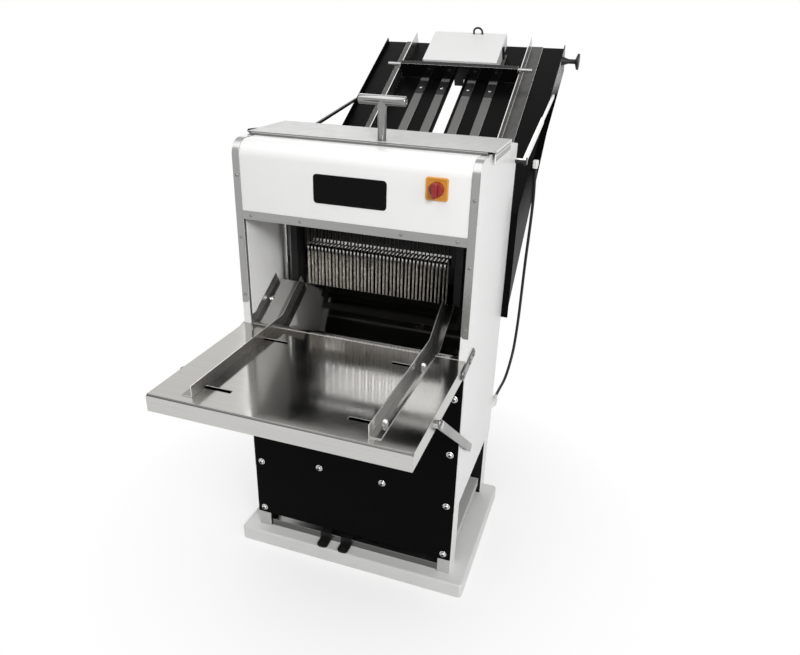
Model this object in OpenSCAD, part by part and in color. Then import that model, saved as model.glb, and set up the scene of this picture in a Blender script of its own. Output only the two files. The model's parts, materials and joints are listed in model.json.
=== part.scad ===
/* [Base and body] */
// Width of the base slab
base_width = 730; // [680:5:860]
// Thickness of the base slab
base_thick = 50; // [35:1:70]
// Base slab showing in front of the body
base_lip = 32; // [20:1:60]
// Corner radius of the base slab
base_corner = 12; // [4:1:25]
// Width over the side panels
body_width = 640; // [600:5:720]
// Depth of the side panels
body_depth = 470; // [440:5:520]
// Height of the side panels above the floor
body_height = 1268; // [1240:2:1340]
// Radius of the rounded front top edge
bend_radius = 40; // [30:1:41]
// Height of the side panels' lower edge
panel_bottom = 280; // [220:5:340]
// Thickness of the sheet metal
sheet = 2; // [1.5:0.1:2.5]
// Depth of the hollow side panels
edge_width = 20; // [16:1:26]
// Width of a frame leg across the front
leg_width = 40; // [30:1:50]
// Depth of a frame leg
leg_depth = 60; // [40:1:70]
// Wall of the square tubes
tube_wall = 3; // [2:0.5:4]

/* [Front] */
// Height of the upper front panel from its lower edge to the top
mouth_drop = 201; // [170:1:230]
// Height of the opening trim strip
strip_height = 23; // [18:1:30]
// Height where the lower black panel starts
apron_bottom = 105; // [90:1:140]
// Lower end of the edge trims above the table
trim_rise = 62; // [40:1:110]
// Length of the blank badge
badge_width = 192; // [150:2:210]
// Height of the blank badge
badge_height = 72; // [50:1:80]
// Side of the square switch plate
switch_side = 54; // [44:1:64]
// Sideways place of the switch
switch_x = 220; // [180:2:240]
// Switch centre below the top
switch_drop = 70; // [69:1:88]
// Badge centre below the top
badge_drop = 100; // [88:1:118]

/* [Lid and handle] */
// Top of the lid above the side panels
lid_rise = 8; // [6:1:22]
// Front edge of the lid behind the body front
lid_front = 95; // [90:1:102]
// Depth of the lid
lid_depth = 210; // [190:2:230]
// Sideways place of the T handle
handle_x = 38; // [0:1:80]
// Place of the T handle behind the body front
handle_y = 118; // [116:1:124]
// Height of the T handle above the lid
handle_rise = 96; // [80:1:120]
// Length of the T handle bar
handle_length = 122; // [100:1:150]
// Diameter of the T handle bar
handle_bar = 24; // [18:1:28]
// Diameter of the T handle stem
handle_stem = 22; // [18:1:26]

/* [Table] */
// Place of the bend between table and slide behind the body front
path_y = 34; // [28:1:40]
// Top of the table above the floor
table_top = 768; // [740:1:800]
// Depth of the table
table_depth = 430; // [380:5:480]
// Height of the table's folded edges
table_edge = 43; // [35:1:50]
// Height of a table guide
guide_height = 30; // [24:1:40]
// Width of a table guide's foot
guide_foot = 28; // [24:1:34]
// Half of the space between the table guides
guide_half = 212; // [206:1:220]
// Length of a cross slot in the table
slot_length = 95; // [90:1:100]
// Depth of the table stays' bars
stay_width = 24; // [20:1:30]

/* [Blades] */
// Number of blades in the front frame
front_blades = 20; // [16:1:20]
// Slice thickness
pitch = 11; // [10:0.5:11]
// Depth of a blade
blade_depth = 13; // [10:1:15]
// Thickness of a blade
blade_thick = 1; // [0.7:0.1:1.2]
// Place of the front blade frame behind the body front
blade_y = 176; // [174:1:182]
// Distance between the two blade frames
frame_step = 32; // [30:1:36]
// Throw of the crank, half the stroke
crank_throw = 15; // [12:1:17]

/* [Infeed chute] */
// Slope of the bread path
slope = 31; // [30:0.5:32]
// Length of the bread path from the table to the top of the chute
chute_end = 1360; // [1320:5:1400]
// Width of the chute behind the body
chute_width = 682; // [664:2:700]
// Depth of the chute's side plates
side_depth = 92; // [70:1:100]
// Width of a grey runner strip
runner_width = 30; // [24:1:32]
// Half of the space between the infeed guides
feed_half = 217; // [214:1:224]
// Height of an infeed guide
feed_height = 45; // [38:1:50]
// Width of the white weight box
weight_width = 270; // [220:5:290]
// Thickness of the cable
cable_diameter = 10; // [8:0.5:12]

/* [Hidden] */
$fn = 48;
// Body front plane and sides
base_depth = base_lip + body_depth - sheet;
front_y = base_lip - base_depth / 2;
half = body_width / 2;
over = 1;
gap = 0.4;
inner = half - edge_width;
mouth_top = body_height - mouth_drop;
lid_top = body_height + lid_rise;
switch_z = body_height - switch_drop;
badge_z = body_height - badge_drop;
trim_bottom = table_top + trim_rise;
shade_white = [0.91, 0.91, 0.91];
shade_steel = [0.68, 0.68, 0.67];
shade_dark = [0.09, 0.09, 0.09];
shade_grey = [0.8, 0.8, 0.79];

// Moves a piece to the body's front plane
module at_front(y = 0, z = 0) {
    translate([0, front_y + y, z]) children();
}
// Draws a piece on the right and its mirror on the left
module both_sides() {
    children();
    mirror([1, 0, 0]) children();
}
// Draws a side view, depth then height, between two sideways places
module across(x0, x1) {
    translate([x0, 0, 0]) rotate([90, 0, 90]) linear_extrude(x1 - x0) children();
}
// Box between two corners
module box(a, b) {
    translate(a) cube([b[0] - a[0], b[1] - a[1], b[2] - a[2]]);
}
// Rod along the width from one sideways place to another
module rod_x(x0, x1, d) {
    translate([x0, 0, 0]) rotate([0, 90, 0]) cylinder(h = x1 - x0, d = d);
}
// Places children on the sloping bread path, with the slope running along depth
module on_path(s = 0, n = 0) {
    at_front(path_y, table_top) rotate([slope, 0, 0]) translate([0, s, n]) children();
}

// Base slab, square in plan with small round corners
module base_plate() {
    color(shade_grey) linear_extrude(base_thick) {
        square([base_width - 2 * base_corner, base_depth], center = true);
        square([base_width, base_depth - 2 * base_corner], center = true);
        for (x = [-1, 1])
            for (y = [-1, 1])
                translate([x * (base_width / 2 - base_corner), y * (base_depth / 2 - base_corner)])
                    circle(r = base_corner);
    }
}

// Four upright tubes of the frame, open inside
leg_drop = 60;
leg_top = table_top - leg_drop;
leg_x = half - sheet - leg_width;
leg_back = body_depth - sheet - leg_depth;
module leg(y) {
    difference() {
        box([leg_x, y, base_thick], [leg_x + leg_width, y + leg_depth, leg_top]);
        box([leg_x + tube_wall, y + tube_wall, base_thick - over],
            [leg_x + leg_width - tube_wall, y + leg_depth - tube_wall, leg_top + over]);
    }
}
module frame_legs() {
    color(shade_grey) at_front() both_sides() {
        leg(sheet);
        leg(leg_back);
    }
}

// Side rails and rear rail that join the legs low down and at shelf height, all open tubes
rail = 30;
shelf_z = 400;
module rail_y(x, z) {
    difference() {
        box([x, sheet + leg_depth, z], [x + rail, leg_back, z + rail]);
        box([x + tube_wall, sheet + leg_depth - over, z + tube_wall],
            [x + rail - tube_wall, leg_back + over, z + rail - tube_wall]);
    }
}
module rail_x(y, z) {
    difference() {
        box([-leg_x, y, z], [leg_x, y + rail, z + rail]);
        box([-leg_x - over, y + tube_wall, z + tube_wall],
            [leg_x + over, y + rail - tube_wall, z + rail - tube_wall]);
    }
}
module frame_rails() {
    color(shade_grey) at_front() {
        both_sides()
            for (z = [base_thick + rail, shelf_z - rail, leg_top - rail])
                rail_y(leg_x, z);
        for (z = [base_thick + rail, shelf_z - rail])
            rail_x(leg_back + leg_depth - rail, z);
        rail_x(sheet, shelf_z - rail);
    }
}

// Bright tube between the front legs, on the base slab
bar_height = 24;
bar_depth = 30;
bar_set = 8;
module front_cross_bar() {
    color(shade_steel) at_front(bar_set, base_thick)
        box([-leg_x, 0, 0], [leg_x, bar_depth, bar_height]);
}

// Two clips that hold the cross bar to the base slab, each with its bolt
clip_width = 34;
clip_step = 52;
clip_x = 104;
clip_plate = 5;
clip_bolt = 14;
bolt_rise = 6;
module hold_down_clips() {
    color(shade_dark) at_front(bar_set, base_thick)
        for (x = [-clip_x, clip_step - clip_x + clip_width / 2]) {
            box([x, -clip_plate, 0], [x + clip_width, 0, bar_height + clip_plate]);
            box([x, -clip_plate, bar_height], [x + clip_width, bar_depth, bar_height + clip_plate]);
            box([x, -clip_plate - clip_width, 0], [x + clip_width, -clip_plate, clip_plate]);
            translate([x + clip_width / 2, -clip_plate - clip_width / 2, clip_plate])
                cylinder(h = bolt_rise, d = clip_bolt, $fn = 6);
        }
}

// Side view of a side panel, with a round front top corner and a sloping rear top
rear_drop = 28;
slope_start = lid_front + lid_depth;
module side_outline(in) {
    difference() {
        union() {
            translate([in, panel_bottom])
                square([body_depth - 2 * in, body_height - bend_radius - panel_bottom]);
            translate([bend_radius, panel_bottom])
                square([body_depth - bend_radius - in, body_height - in - panel_bottom]);
            translate([bend_radius, body_height - bend_radius]) circle(r = bend_radius - in);
        }
        polygon([[slope_start, body_height - in], [body_depth + over, body_height - rear_drop - in],
            [body_depth + over, body_height + over], [slope_start, body_height + over]]);
    }
}
// Right side panel, a folded tray with a liner on four spacers facing the bread path
liner_edge = 12;
spacer = 10;
liner_bottom = table_top - leg_drop + liner_edge;
liner_y = sheet + liner_edge;
liner_back = body_depth - sheet - liner_edge;
liner_top = body_height - rear_drop - bend_radius;
module side_panel() {
    at_front() {
        across(half - sheet, half) side_outline(0);
        difference() {
            across(inner, half - sheet) side_outline(0);
            across(inner - over, half - sheet + over) side_outline(sheet);
            box([inner - over, sheet, panel_bottom - over], [half, body_depth - sheet, panel_bottom + sheet]);
        }
        box([inner, liner_y, liner_bottom], [inner + sheet, liner_back, liner_top]);
        for (y = [liner_y + spacer, liner_back - spacer])
            for (z = [liner_bottom + spacer, liner_top - spacer])
                translate([0, y, z]) rod_x(inner + sheet, half - sheet, spacer);
    }
}
module side_panel_right() {
    color(shade_white) side_panel();
}
module side_panel_left() {
    color(shade_white) mirror([1, 0, 0]) side_panel();
}

// Side view of a skin over the round front edge, from one stand-off to another
module skin_shape(t, z0, y1) {
    translate([-t, z0]) square([bend_radius + t, body_height - bend_radius - z0]);
    translate([bend_radius, body_height - bend_radius]) circle(r = bend_radius + t);
    translate([bend_radius, z0]) square([y1 - bend_radius, body_height + t - z0]);
}
module skin(t0, t1, z0, y1) {
    difference() {
        skin_shape(t1, z0, y1);
        skin_shape(t0, z0 - over, y1 + over);
    }
}
module front_upper_panel() {
    color(shade_white) at_front() across(-inner, inner) skin(-sheet, 0, mouth_top, lid_front);
}

// Black lower panel on the front legs
apron_gap = 12;
apron_top = table_top - table_edge - apron_gap;
apron_in = 3;
module front_lower_panel() {
    color(shade_dark) at_front()
        box([apron_in - half, -sheet, apron_bottom], [half - apron_in, 0, apron_top]);
}

// Round-headed bolts of the lower panel
bolt_head = 16;
bolt_high = 7;
bolt_in = 25;
bolt_low = 20;
bolt_rows = 3;
mid_bolt_x = 100;
mid_bolt_z = 328;
bolt_socket = 8;
module dome_bolt(d, h) {
    rotate([90, 0, 0]) difference() {
        intersection() {
            cylinder(h = h, d = d);
            translate([0, 0, h - d * d / h / 8 - h / 2]) sphere(r = d * d / h / 8 + h / 2);
        }
        translate([0, 0, h / 2]) cylinder(h = h, d = bolt_socket, $fn = 6);
    }
}
bolt_z0 = apron_bottom + bolt_low;
bolt_step = (apron_top - 3 * bolt_low - bolt_z0) / bolt_rows;
module lower_panel_bolts() {
    color(shade_steel) at_front(-sheet) {
        both_sides()
            for (i = [0:bolt_rows])
                translate([half - bolt_in, 0, bolt_z0 + i * bolt_step]) dome_bolt(bolt_head, bolt_high);
        both_sides() translate([mid_bolt_x, 0, mid_bolt_z]) dome_bolt(bolt_head, bolt_high);
    }
}

// Lid plate with folded sides, and a bush for the handle stem
lid_over = 10;
lid_skirt = 30;
lid_nose = 8;
stem_play = 0.05;
bush_wall = 5;
bush_drop = 26;
module top_lid() {
    color(shade_grey) at_front() difference() {
        union() {
            box([-half - lid_over, lid_front, lid_top - sheet],
                [half + lid_over, lid_front + lid_depth, lid_top]);
            both_sides()
                box([half + lid_over - sheet, lid_front + lid_nose, lid_top - lid_skirt],
                    [half + lid_over, lid_front + lid_depth, lid_top - sheet]);
            translate([handle_x, handle_y, lid_top - bush_drop])
                cylinder(h = bush_drop, d = handle_stem + 2 * bush_wall);
        }
        translate([handle_x, handle_y, lid_top - bush_drop - over])
            cylinder(h = bush_drop + 2 * over, d = handle_stem + 2 * stem_play);
    }
}

// Bright strips the lid lies on, along its front and rear edges
channel_depth = 10;
channel_in = 6;
lid_under = lid_top - sheet;
module lid_channel() {
    color(shade_steel) at_front() {
        box([channel_in - half, lid_front - sheet - channel_depth, body_height],
            [half - channel_in, lid_front + channel_depth / 2, lid_under]);
        box([channel_in - half, lid_front + lid_depth - 2 * channel_depth, body_height],
            [half - channel_in, lid_front + lid_depth - channel_depth, lid_under]);
    }
}

// Bright trims up the front edges, bent over the round top
trim = 1.5;
trim_end = lid_front - sheet - channel_depth - trim;
module edge_trim_right() {
    color(shade_steel) at_front() across(inner, half) skin(0, trim, trim_bottom, trim_end);
}
module edge_trim_left() {
    color(shade_steel) mirror([1, 0, 0]) at_front() across(inner, half) skin(0, trim, trim_bottom, trim_end);
}

// Bright strip over the mouth
module opening_trim() {
    color(shade_steel) at_front() box([-inner, -trim, mouth_top], [inner, 0, mouth_top + strip_height]);
}

// Screws of the trims
screw_head = 9;
screw_high = 2.5;
screw_end = 24;
screw_share = 0.45;
screw_x = inner + edge_width / 2;
screw_span = body_height - bend_radius - trim_bottom - 3 * screw_end;
module trim_screws() {
    color(shade_steel) at_front(-trim) {
        both_sides() {
            for (i = [0:2])
                translate([screw_x, 0, trim_bottom + screw_end + i * screw_span / 2])
                    rotate([90, 0, 0]) cylinder(h = screw_high, d = screw_head);
            for (x = [inner - screw_end, inner * screw_share])
                translate([x, 0, mouth_top + strip_height / 2])
                    rotate([90, 0, 0]) cylinder(h = screw_high, d = screw_head);
        }
    }
}

// Blank badge on the upper panel
badge_thick = 1.2;
module badge_plate() {
    color(shade_dark) at_front()
        box([-badge_width / 2, -badge_thick, badge_z - badge_height / 2],
            [badge_width / 2, 0, badge_z + badge_height / 2]);
}

// Main switch, a square plate, a turning grip and the body behind the panel
plate_thick = 4;
knob_flange = 36;
knob_deep = 8;
grip_wide = 12;
grip_deep = 16;
switch_deep = 55;
body_share = 0.45;
module switch_plate() {
    color([0.88, 0.63, 0.15]) at_front()
        box([switch_x - switch_side / 2, -plate_thick, switch_z - switch_side / 2],
            [switch_x + switch_side / 2, 0, switch_z + switch_side / 2]);
}
module switch_knob() {
    color([0.7, 0.1, 0.1]) translate([switch_x, front_y - plate_thick - gap, switch_z]) rotate([90, 0, 0]) {
        cylinder(h = knob_deep, d = knob_flange);
        translate([0, 0, knob_deep + grip_deep / 2])
            cube([grip_wide, knob_flange, grip_deep], center = true);
    }
}
module switch_body() {
    color(shade_dark) at_front()
        box([switch_x - switch_side * body_share, sheet, switch_z - switch_side * body_share],
            [switch_x + switch_side * body_share, switch_deep, switch_z + switch_side * body_share]);
}

// Blade frames, two upright rectangles that run against each other on four rods
frame_play = 3;
frame_bar = frame_step - blade_depth - frame_play;
frame_clear = 46;
frame_half = inner - frame_clear;
rod_in = 26;
rod_d = 12;
rod_play = 0.05;
lug = 26;
frame_lift = 27;
frame_low = leg_top + frame_lift;
beam = 20;
frame_room = 30;
frame_high = liner_top - beam - frame_room;
crank_rise = 62;
crank_z = shelf_z + crank_rise;
crank_y = blade_y + frame_step / 2;
crank_x = 60;
pin_d = 16;
yoke_thick = 12;
yoke_wall = 10;
lag_share = 0.22;
slot_room = 2;
slot_y = crank_throw + pin_d / 2 + slot_room;
slot_z = pin_d / 2 + lag_share * crank_throw + gap;
module blade_frame(y, x) {
    at_front() {
        difference() {
            union() {
                for (z = [frame_low, frame_high - frame_bar])
                    box([-frame_half, y - frame_bar / 2, z], [frame_half, y + frame_bar / 2, z + frame_bar]);
                both_sides() {
                    box([frame_half - beam, y - frame_bar / 2, frame_low],
                        [frame_half, y + frame_bar / 2, frame_high]);
                    for (z = [frame_low, frame_high - lug])
                        box([frame_half - over, y - frame_bar / 2, z],
                            [inner - rod_in + lug / 2, y + frame_bar / 2, z + lug]);
                }
            }
            both_sides() translate([inner - rod_in, y, frame_low - over])
                cylinder(h = frame_high - frame_low + 2 * over, d = rod_d + 2 * rod_play);
        }
        // Drive bar and slotted yoke that the crank pin moves
        box([x - yoke_thick / 2, y - frame_bar / 3, crank_z + slot_z],
            [x + yoke_thick / 2, y + frame_bar / 3, frame_low]);
        difference() {
            box([x - yoke_thick / 2, crank_y - slot_y - yoke_wall, crank_z - slot_z - yoke_wall],
                [x + yoke_thick / 2, crank_y + slot_y + yoke_wall, crank_z + slot_z + yoke_wall]);
            box([x - yoke_thick, crank_y - slot_y, crank_z - slot_z],
                [x + yoke_thick, crank_y + slot_y, crank_z + slot_z]);
        }
    }
}
module blade_frame_front() {
    color(shade_steel) blade_frame(blade_y, -crank_x);
}
module blade_frame_rear() {
    color(shade_grey) blade_frame(blade_y + frame_step, crank_x);
}
// Both sets stand in the space between the frames, each fixed to the faces of its own frame's bars
module blade_set(y, n) {
    at_front()
        for (i = [0:n - 1])
            translate([(i - (n - 1) / 2) * 2 * pitch - blade_thick / 2, y, frame_low])
                cube([blade_thick, blade_depth, frame_high - frame_low]);
}
module blades_front() {
    color(shade_steel) blade_set(blade_y + frame_bar / 2, front_blades);
}
module blades_rear() {
    color(shade_steel) blade_set(blade_y + frame_step - frame_bar / 2 - blade_depth, front_blades - 1);
}

// Cross beams that hold the rods, the lower one open for the drive bars
beam_side = 22;
bar_room = 4;
module blade_beams() {
    color(shade_grey) at_front() {
        box([-inner, blade_y - beam_side, liner_top - beam],
            [inner, blade_y + frame_step + beam_side, liner_top]);
        difference() {
            box([-leg_x, blade_y - beam_side, leg_top - beam],
                [leg_x, blade_y + frame_step + beam_side, leg_top]);
            for (x = [-crank_x, crank_x])
                box([x - yoke_thick / 2 - bar_room, blade_y - frame_bar / 2 - bar_room,
                        leg_top - beam - over],
                    [x + yoke_thick / 2 + bar_room, blade_y + frame_step + frame_bar / 2 + bar_room,
                        leg_top + over]);
        }
    }
}
module guide_rods() {
    color(shade_steel) at_front() both_sides()
        for (y = [blade_y, blade_y + frame_step])
            translate([inner - rod_in, y, leg_top]) cylinder(h = liner_top - beam - leg_top, d = rod_d);
}

// Crankshaft with two pins half a turn apart
shaft_d = 25;
web_rim = 4;
web_d = 2 * (crank_throw + pin_d / 2 + web_rim);
web_thick = 10;
web_room = 3;
bearing_x = 190;
bearing_wide = 36;
pulley_wide = 20;
pulley_x = bearing_x + bearing_wide;
module crankshaft() {
    web_in = yoke_thick / 2 + web_room;
    web_out = web_in + web_thick;
    color(shade_steel) at_front(crank_y, crank_z) {
        rod_x(-bearing_x - bearing_wide, -crank_x - web_out, shaft_d);
        rod_x(-crank_x + web_out, crank_x - web_out, shaft_d);
        rod_x(crank_x + web_out, pulley_x + pulley_wide, shaft_d);
        for (s = [-1, 1]) {
            rod_x(s * crank_x - web_out, s * crank_x - web_in, web_d);
            rod_x(s * crank_x + web_in, s * crank_x + web_out, web_d);
            translate([0, -s * crank_throw, 0]) rod_x(s * crank_x - web_in, s * crank_x + web_in, pin_d);
        }
    }
}
module crank_bearings() {
    color(shade_dark) at_front(crank_y, 0)
        for (x = [-bearing_x, bearing_x])
            difference() {
                box([x - bearing_wide / 2, -bearing_wide, shelf_z + rail / 5],
                    [x + bearing_wide / 2, bearing_wide, crank_z + bearing_wide]);
                translate([x, 0, crank_z]) rod_x(-bearing_wide, bearing_wide, shaft_d + 2 * rod_play);
            }
}
module drive_shelf() {
    color(shade_grey) at_front()
        box([-leg_x, sheet, shelf_z],
            [bearing_x + bearing_wide / 2, leg_back + leg_depth, shelf_z + rail / 5]);
}

// Pulleys with a groove for the belt
big_pulley = 182;
small_pulley = 80;
groove = 9;
belt_thick = 8;
belt_wide = 11;
motor_rise = 100;
motor_z = base_thick + motor_rise;
module pulley(d, bore) {
    rotate([0, 90, 0]) difference() {
        cylinder(h = pulley_wide, d = d);
        translate([0, 0, (pulley_wide - belt_wide) / 2 - gap]) difference() {
            cylinder(h = belt_wide + 2 * gap, d = d + over);
            cylinder(h = belt_wide + 2 * gap, d = d - 2 * groove);
        }
        translate([0, 0, -over]) cylinder(h = pulley_wide + 2 * over, d = bore + 2 * rod_play);
    }
}
module crank_pulley() {
    color(shade_dark) at_front(crank_y, crank_z) translate([pulley_x, 0, 0]) pulley(big_pulley, shaft_d);
}
motor_d = 140;
motor_long = 230;
motor_end = pulley_x - rail;
motor_shaft = 20;
module motor_pulley() {
    color(shade_dark) at_front(crank_y, motor_z) {
        translate([pulley_x, 0, 0]) pulley(small_pulley, motor_shaft);
        rod_x(motor_end + gap, pulley_x + pulley_wide, motor_shaft);
    }
}
belt_lift = groove - gap;
belt_big = big_pulley / 2 - belt_lift;
belt_small = small_pulley / 2 - belt_lift;
belt_span = crank_z - motor_z;
belt_lean = asin((belt_big - belt_small) / belt_span);
arc_steps = 24;
function belt_points(t) = [
    for (i = [0:arc_steps])
        let (a = (180 + 2 * belt_lean) * i / arc_steps - belt_lean)
            [(belt_big + t) * cos(a), belt_span + (belt_big + t) * sin(a)],
    for (i = [0:arc_steps])
        let (a = 180 + belt_lean + (180 - 2 * belt_lean) * i / arc_steps)
            [(belt_small + t) * cos(a), (belt_small + t) * sin(a)]];
module drive_belt() {
    x0 = pulley_x + (pulley_wide - belt_wide) / 2;
    color(shade_dark) at_front(crank_y, motor_z) across(x0, x0 + belt_wide) difference() {
        polygon(belt_points(belt_thick));
        polygon(belt_points(0));
    }
}
// Motor on its foot, with a cable box on top
motor_foot = 120;
foot_thick = 10;
cable_box = 44;
module motor() {
    color(shade_grey) at_front(crank_y, motor_z) {
        rod_x(motor_end - motor_long, motor_end, motor_d);
        box([motor_end - motor_long + cable_box, -motor_foot / 2, base_thick - motor_z],
            [motor_end - cable_box, motor_foot / 2, base_thick - motor_z + foot_thick]);
        for (x = [motor_end - motor_long + cable_box, motor_end - 2 * cable_box])
            box([x, -motor_foot / 3, base_thick - motor_z + foot_thick],
                [x + cable_box, motor_foot / 3, -motor_d / 3]);
        box([motor_end - motor_long / 2 - cable_box, -cable_box, motor_d / 3],
            [motor_end - motor_long / 2 + cable_box, cable_box, motor_d / 2 + cable_box / 2]);
    }
}

// Comb that keeps the loaf down, with fingers between the blades on a bar behind them
comb_drop = 128;
comb_z = mouth_top - comb_drop;
comb_bar = 16;
comb_room = 6;
comb_back = blade_y + frame_step + frame_bar / 2 + comb_room;
finger_thick = 4;
finger_high = 20;
finger_round = finger_high / 2;
finger_reach = 7;
finger_front = blade_y + frame_bar / 2 - finger_reach;
blade_count = 2 * front_blades - 1;
arm_room = 4;
arm_x = (front_blades - 1) * pitch + blade_thick / 2 + arm_room;
module finger_side() {
    translate([finger_front, comb_z]) square([comb_back - finger_front + over, finger_high - finger_round]);
    translate([finger_front + finger_round, comb_z])
        square([comb_back - finger_front - finger_round + over, finger_high]);
    translate([finger_front + finger_round, comb_z + finger_high - finger_round]) circle(r = finger_round);
}
module hold_down_comb() {
    color(shade_steel) at_front() {
        box([-arm_x, comb_back, comb_z], [arm_x, comb_back + comb_bar, comb_z + finger_high]);
        for (i = [0:blade_count - 2])
            let (x = (i - (blade_count - 2) / 2) * pitch)
                across(x - finger_thick / 2, x + finger_thick / 2) finger_side();
    }
}
// T handle with a hanger below the lid, whose arms reach down past the blades to the comb
arm_thick = 12;
arm_y = blade_y + frame_step - comb_bar / 2;
hang_drop = 35;
hang_z = mouth_top - hang_drop;
hang_high = 14;
hang_deep = 20;
module hanger_arm() {
    across(arm_x, arm_x + arm_thick)
        polygon([[arm_y, comb_z], [comb_back + comb_bar, comb_z],
            [comb_back + comb_bar, comb_z + finger_high], [arm_y + comb_bar, comb_z + finger_high],
            [arm_y + comb_bar, hang_z + hang_high],
            [handle_y, hang_z + hang_high], [handle_y, hang_z], [arm_y, hang_z]]);
}
module t_handle() {
    bar_z = lid_top + handle_rise;
    color(shade_steel) at_front() {
        translate([handle_x, handle_y, hang_z]) cylinder(h = bar_z - hang_z, d = handle_stem);
        translate([handle_x, handle_y, bar_z]) rod_x(-handle_length / 2, handle_length / 2, handle_bar);
        box([-arm_x - arm_thick, handle_y - hang_deep / 2, hang_z],
            [arm_x + arm_thick, handle_y + hang_deep / 2, hang_z + hang_high]);
        both_sides() hanger_arm();
    }
}

// Place on the side view at a distance up the bread path and a height off it
function on_side(s, n) = [path_y + s * cos(slope) - n * sin(slope),
    table_top + s * sin(slope) + n * cos(slope)];
function up_path(y) = (y - path_y) / cos(slope);
// Side view of a bar with round ends
round_steps = 8;
function capsule(p, q, r) = let (a = atan2(q[1] - p[1], q[0] - p[0])) [
    for (i = [0:round_steps])
        let (b = a - 90 + 180 * i / round_steps) q + r * [cos(b), sin(b)],
    for (i = [0:round_steps])
        let (b = a + 90 + 180 * i / round_steps) p + r * [cos(b), sin(b)]];
// Side view of a strip that lies on the table and turns up the slide
function strip(y0, s1, n0, n1) = [[y0, table_top + n0], [path_y - n0 * tan(slope / 2), table_top + n0],
    on_side(s1, n0), on_side(s1, n1), [path_y - n1 * tan(slope / 2), table_top + n1], [y0, table_top + n1]];

// Polished slide from the blades down to the table, with turned-up sides
slide_gap = 5;
slide_end = up_path(blade_y - frame_bar / 2 - slide_gap);
slide_side = 24;
module outfeed_slide() {
    color(shade_steel) at_front() {
        across(-inner, inner) polygon(strip(sheet, slide_end, -sheet, 0));
        both_sides() across(inner - sheet, inner) polygon(strip(sheet, slide_end, 0, slide_side));
    }
}

// Table sheet with folded edges, cross slots for the guides and the stay bolts
table_gap = 1;
table_half = half - sheet;
slot_wide = 12;
slot_outer = guide_half + guide_foot;
slot_front = 350;
slot_rear = 75;
stud_d = 8;
pivot_y = -34;
pivot_z = table_top - table_edge / 2;
pivot_d = 10;
stay_y = -272;
stay_gap = 8;
stay_thick = 4;
stay_bolt = 10;
// Side view of a side flange, its lower rear corner round about the pin so that it clears the body
module table_flange() {
    flange_low = table_top - table_edge;
    difference() {
        translate([sheet - table_depth, flange_low])
            square([table_depth - sheet - table_gap, table_edge - sheet]);
        difference() {
            translate([pivot_y, flange_low - over]) square([-pivot_y, pivot_z - flange_low + over]);
            translate([pivot_y, pivot_z]) circle(r = -pivot_y - table_gap);
        }
    }
}
module outfeed_table() {
    color(shade_steel) at_front() difference() {
        union() {
            box([-table_half, -table_depth, table_top - sheet], [table_half, -table_gap, table_top]);
            box([-table_half, -table_depth, table_top - table_edge],
                [table_half, sheet - table_depth, table_top - sheet]);
            both_sides() {
                across(table_half - sheet, table_half) table_flange();
                translate([0, stay_y, pivot_z]) {
                    rod_x(table_half, half + stay_gap - gap, 2 * stay_bolt);
                    rod_x(half + stay_gap - gap, half + stay_gap + stay_thick + gap, stay_bolt);
                    rod_x(half + stay_gap + stay_thick + gap, half + stay_gap + 2 * stay_thick,
                        2 * stay_bolt);
                }
            }
        }
        both_sides() {
            for (y = [-slot_front, -slot_rear])
                box([slot_outer - slot_length, y - slot_wide / 2, table_top - 2 * sheet],
                    [slot_outer, y + slot_wide / 2, table_top + over]);
            translate([0, pivot_y, pivot_z]) rod_x(table_half - 2 * sheet, half, pivot_d + 2 * rod_play);
        }
    }
}

// Plates on the side panels that carry the table's pins, each with two bolts
bracket_thick = 4;
bracket_r = 14;
bracket_y = 64;
bracket_drop = 6;
bracket_back = [bracket_y, table_top - bracket_drop];
bracket_bolt_shares = [0.62, 1];
bracket_head = 16;
head_high = 2.5;
module table_brackets() {
    color(shade_steel) at_front() both_sides() {
        across(half, half + bracket_thick) polygon(capsule([pivot_y, pivot_z], bracket_back, bracket_r));
        translate([0, pivot_y, pivot_z]) rod_x(table_half - 2 * sheet, half, pivot_d);
        translate([0, pivot_y, pivot_z])
            rod_x(half + bracket_thick, half + bracket_thick + head_high, bracket_head);
        for (f = bracket_bolt_shares)
            let (p = [pivot_y, pivot_z] * (1 - f) + bracket_back * f)
                translate([0, p[0], p[1]])
                    rod_x(half + bracket_thick, half + bracket_thick + head_high, bracket_head);
    }
}

// Stays from the table's sides to studs on the side panels
stud_y = 94;
stud_drop = 320;
stud_z = table_top - stud_drop;
module table_stay() {
    across(half + stay_gap, half + stay_gap + stay_thick) difference() {
        polygon(capsule([stay_y, pivot_z], [stud_y, stud_z], stay_width / 2));
        translate([stay_y, pivot_z]) circle(d = stay_bolt + 2 * rod_play);
    }
}
module table_stay_right() {
    color(shade_steel) at_front() table_stay();
}
module table_stay_left() {
    color(shade_steel) mirror([1, 0, 0]) at_front() table_stay();
}
module stay_studs() {
    color(shade_steel) at_front(stud_y, stud_z) both_sides()
        rod_x(half, half + stay_gap - gap, 2 * stay_bolt);
}

// Guides on the table, bent to run up the slide
guide_front = 404;
guide_end = 148;
nut_in = 17;
module table_guide() {
    at_front() difference() {
        union() {
            across(guide_half, guide_half + sheet)
                polygon(strip(-guide_front, guide_end, gap, guide_height));
            across(guide_half + sheet - gap / 2, guide_half + guide_foot)
                polygon(strip(-guide_front, guide_end, gap, gap + sheet));
        }
        for (y = [-slot_front, -slot_rear])
            translate([guide_half + nut_in, y, table_top - over])
                cylinder(h = 2 * over + 2 * sheet, d = stud_d + 2 * rod_play);
    }
}
module table_guide_right() {
    color(shade_steel) table_guide();
}
module table_guide_left() {
    color(shade_steel) mirror([1, 0, 0]) table_guide();
}
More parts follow.
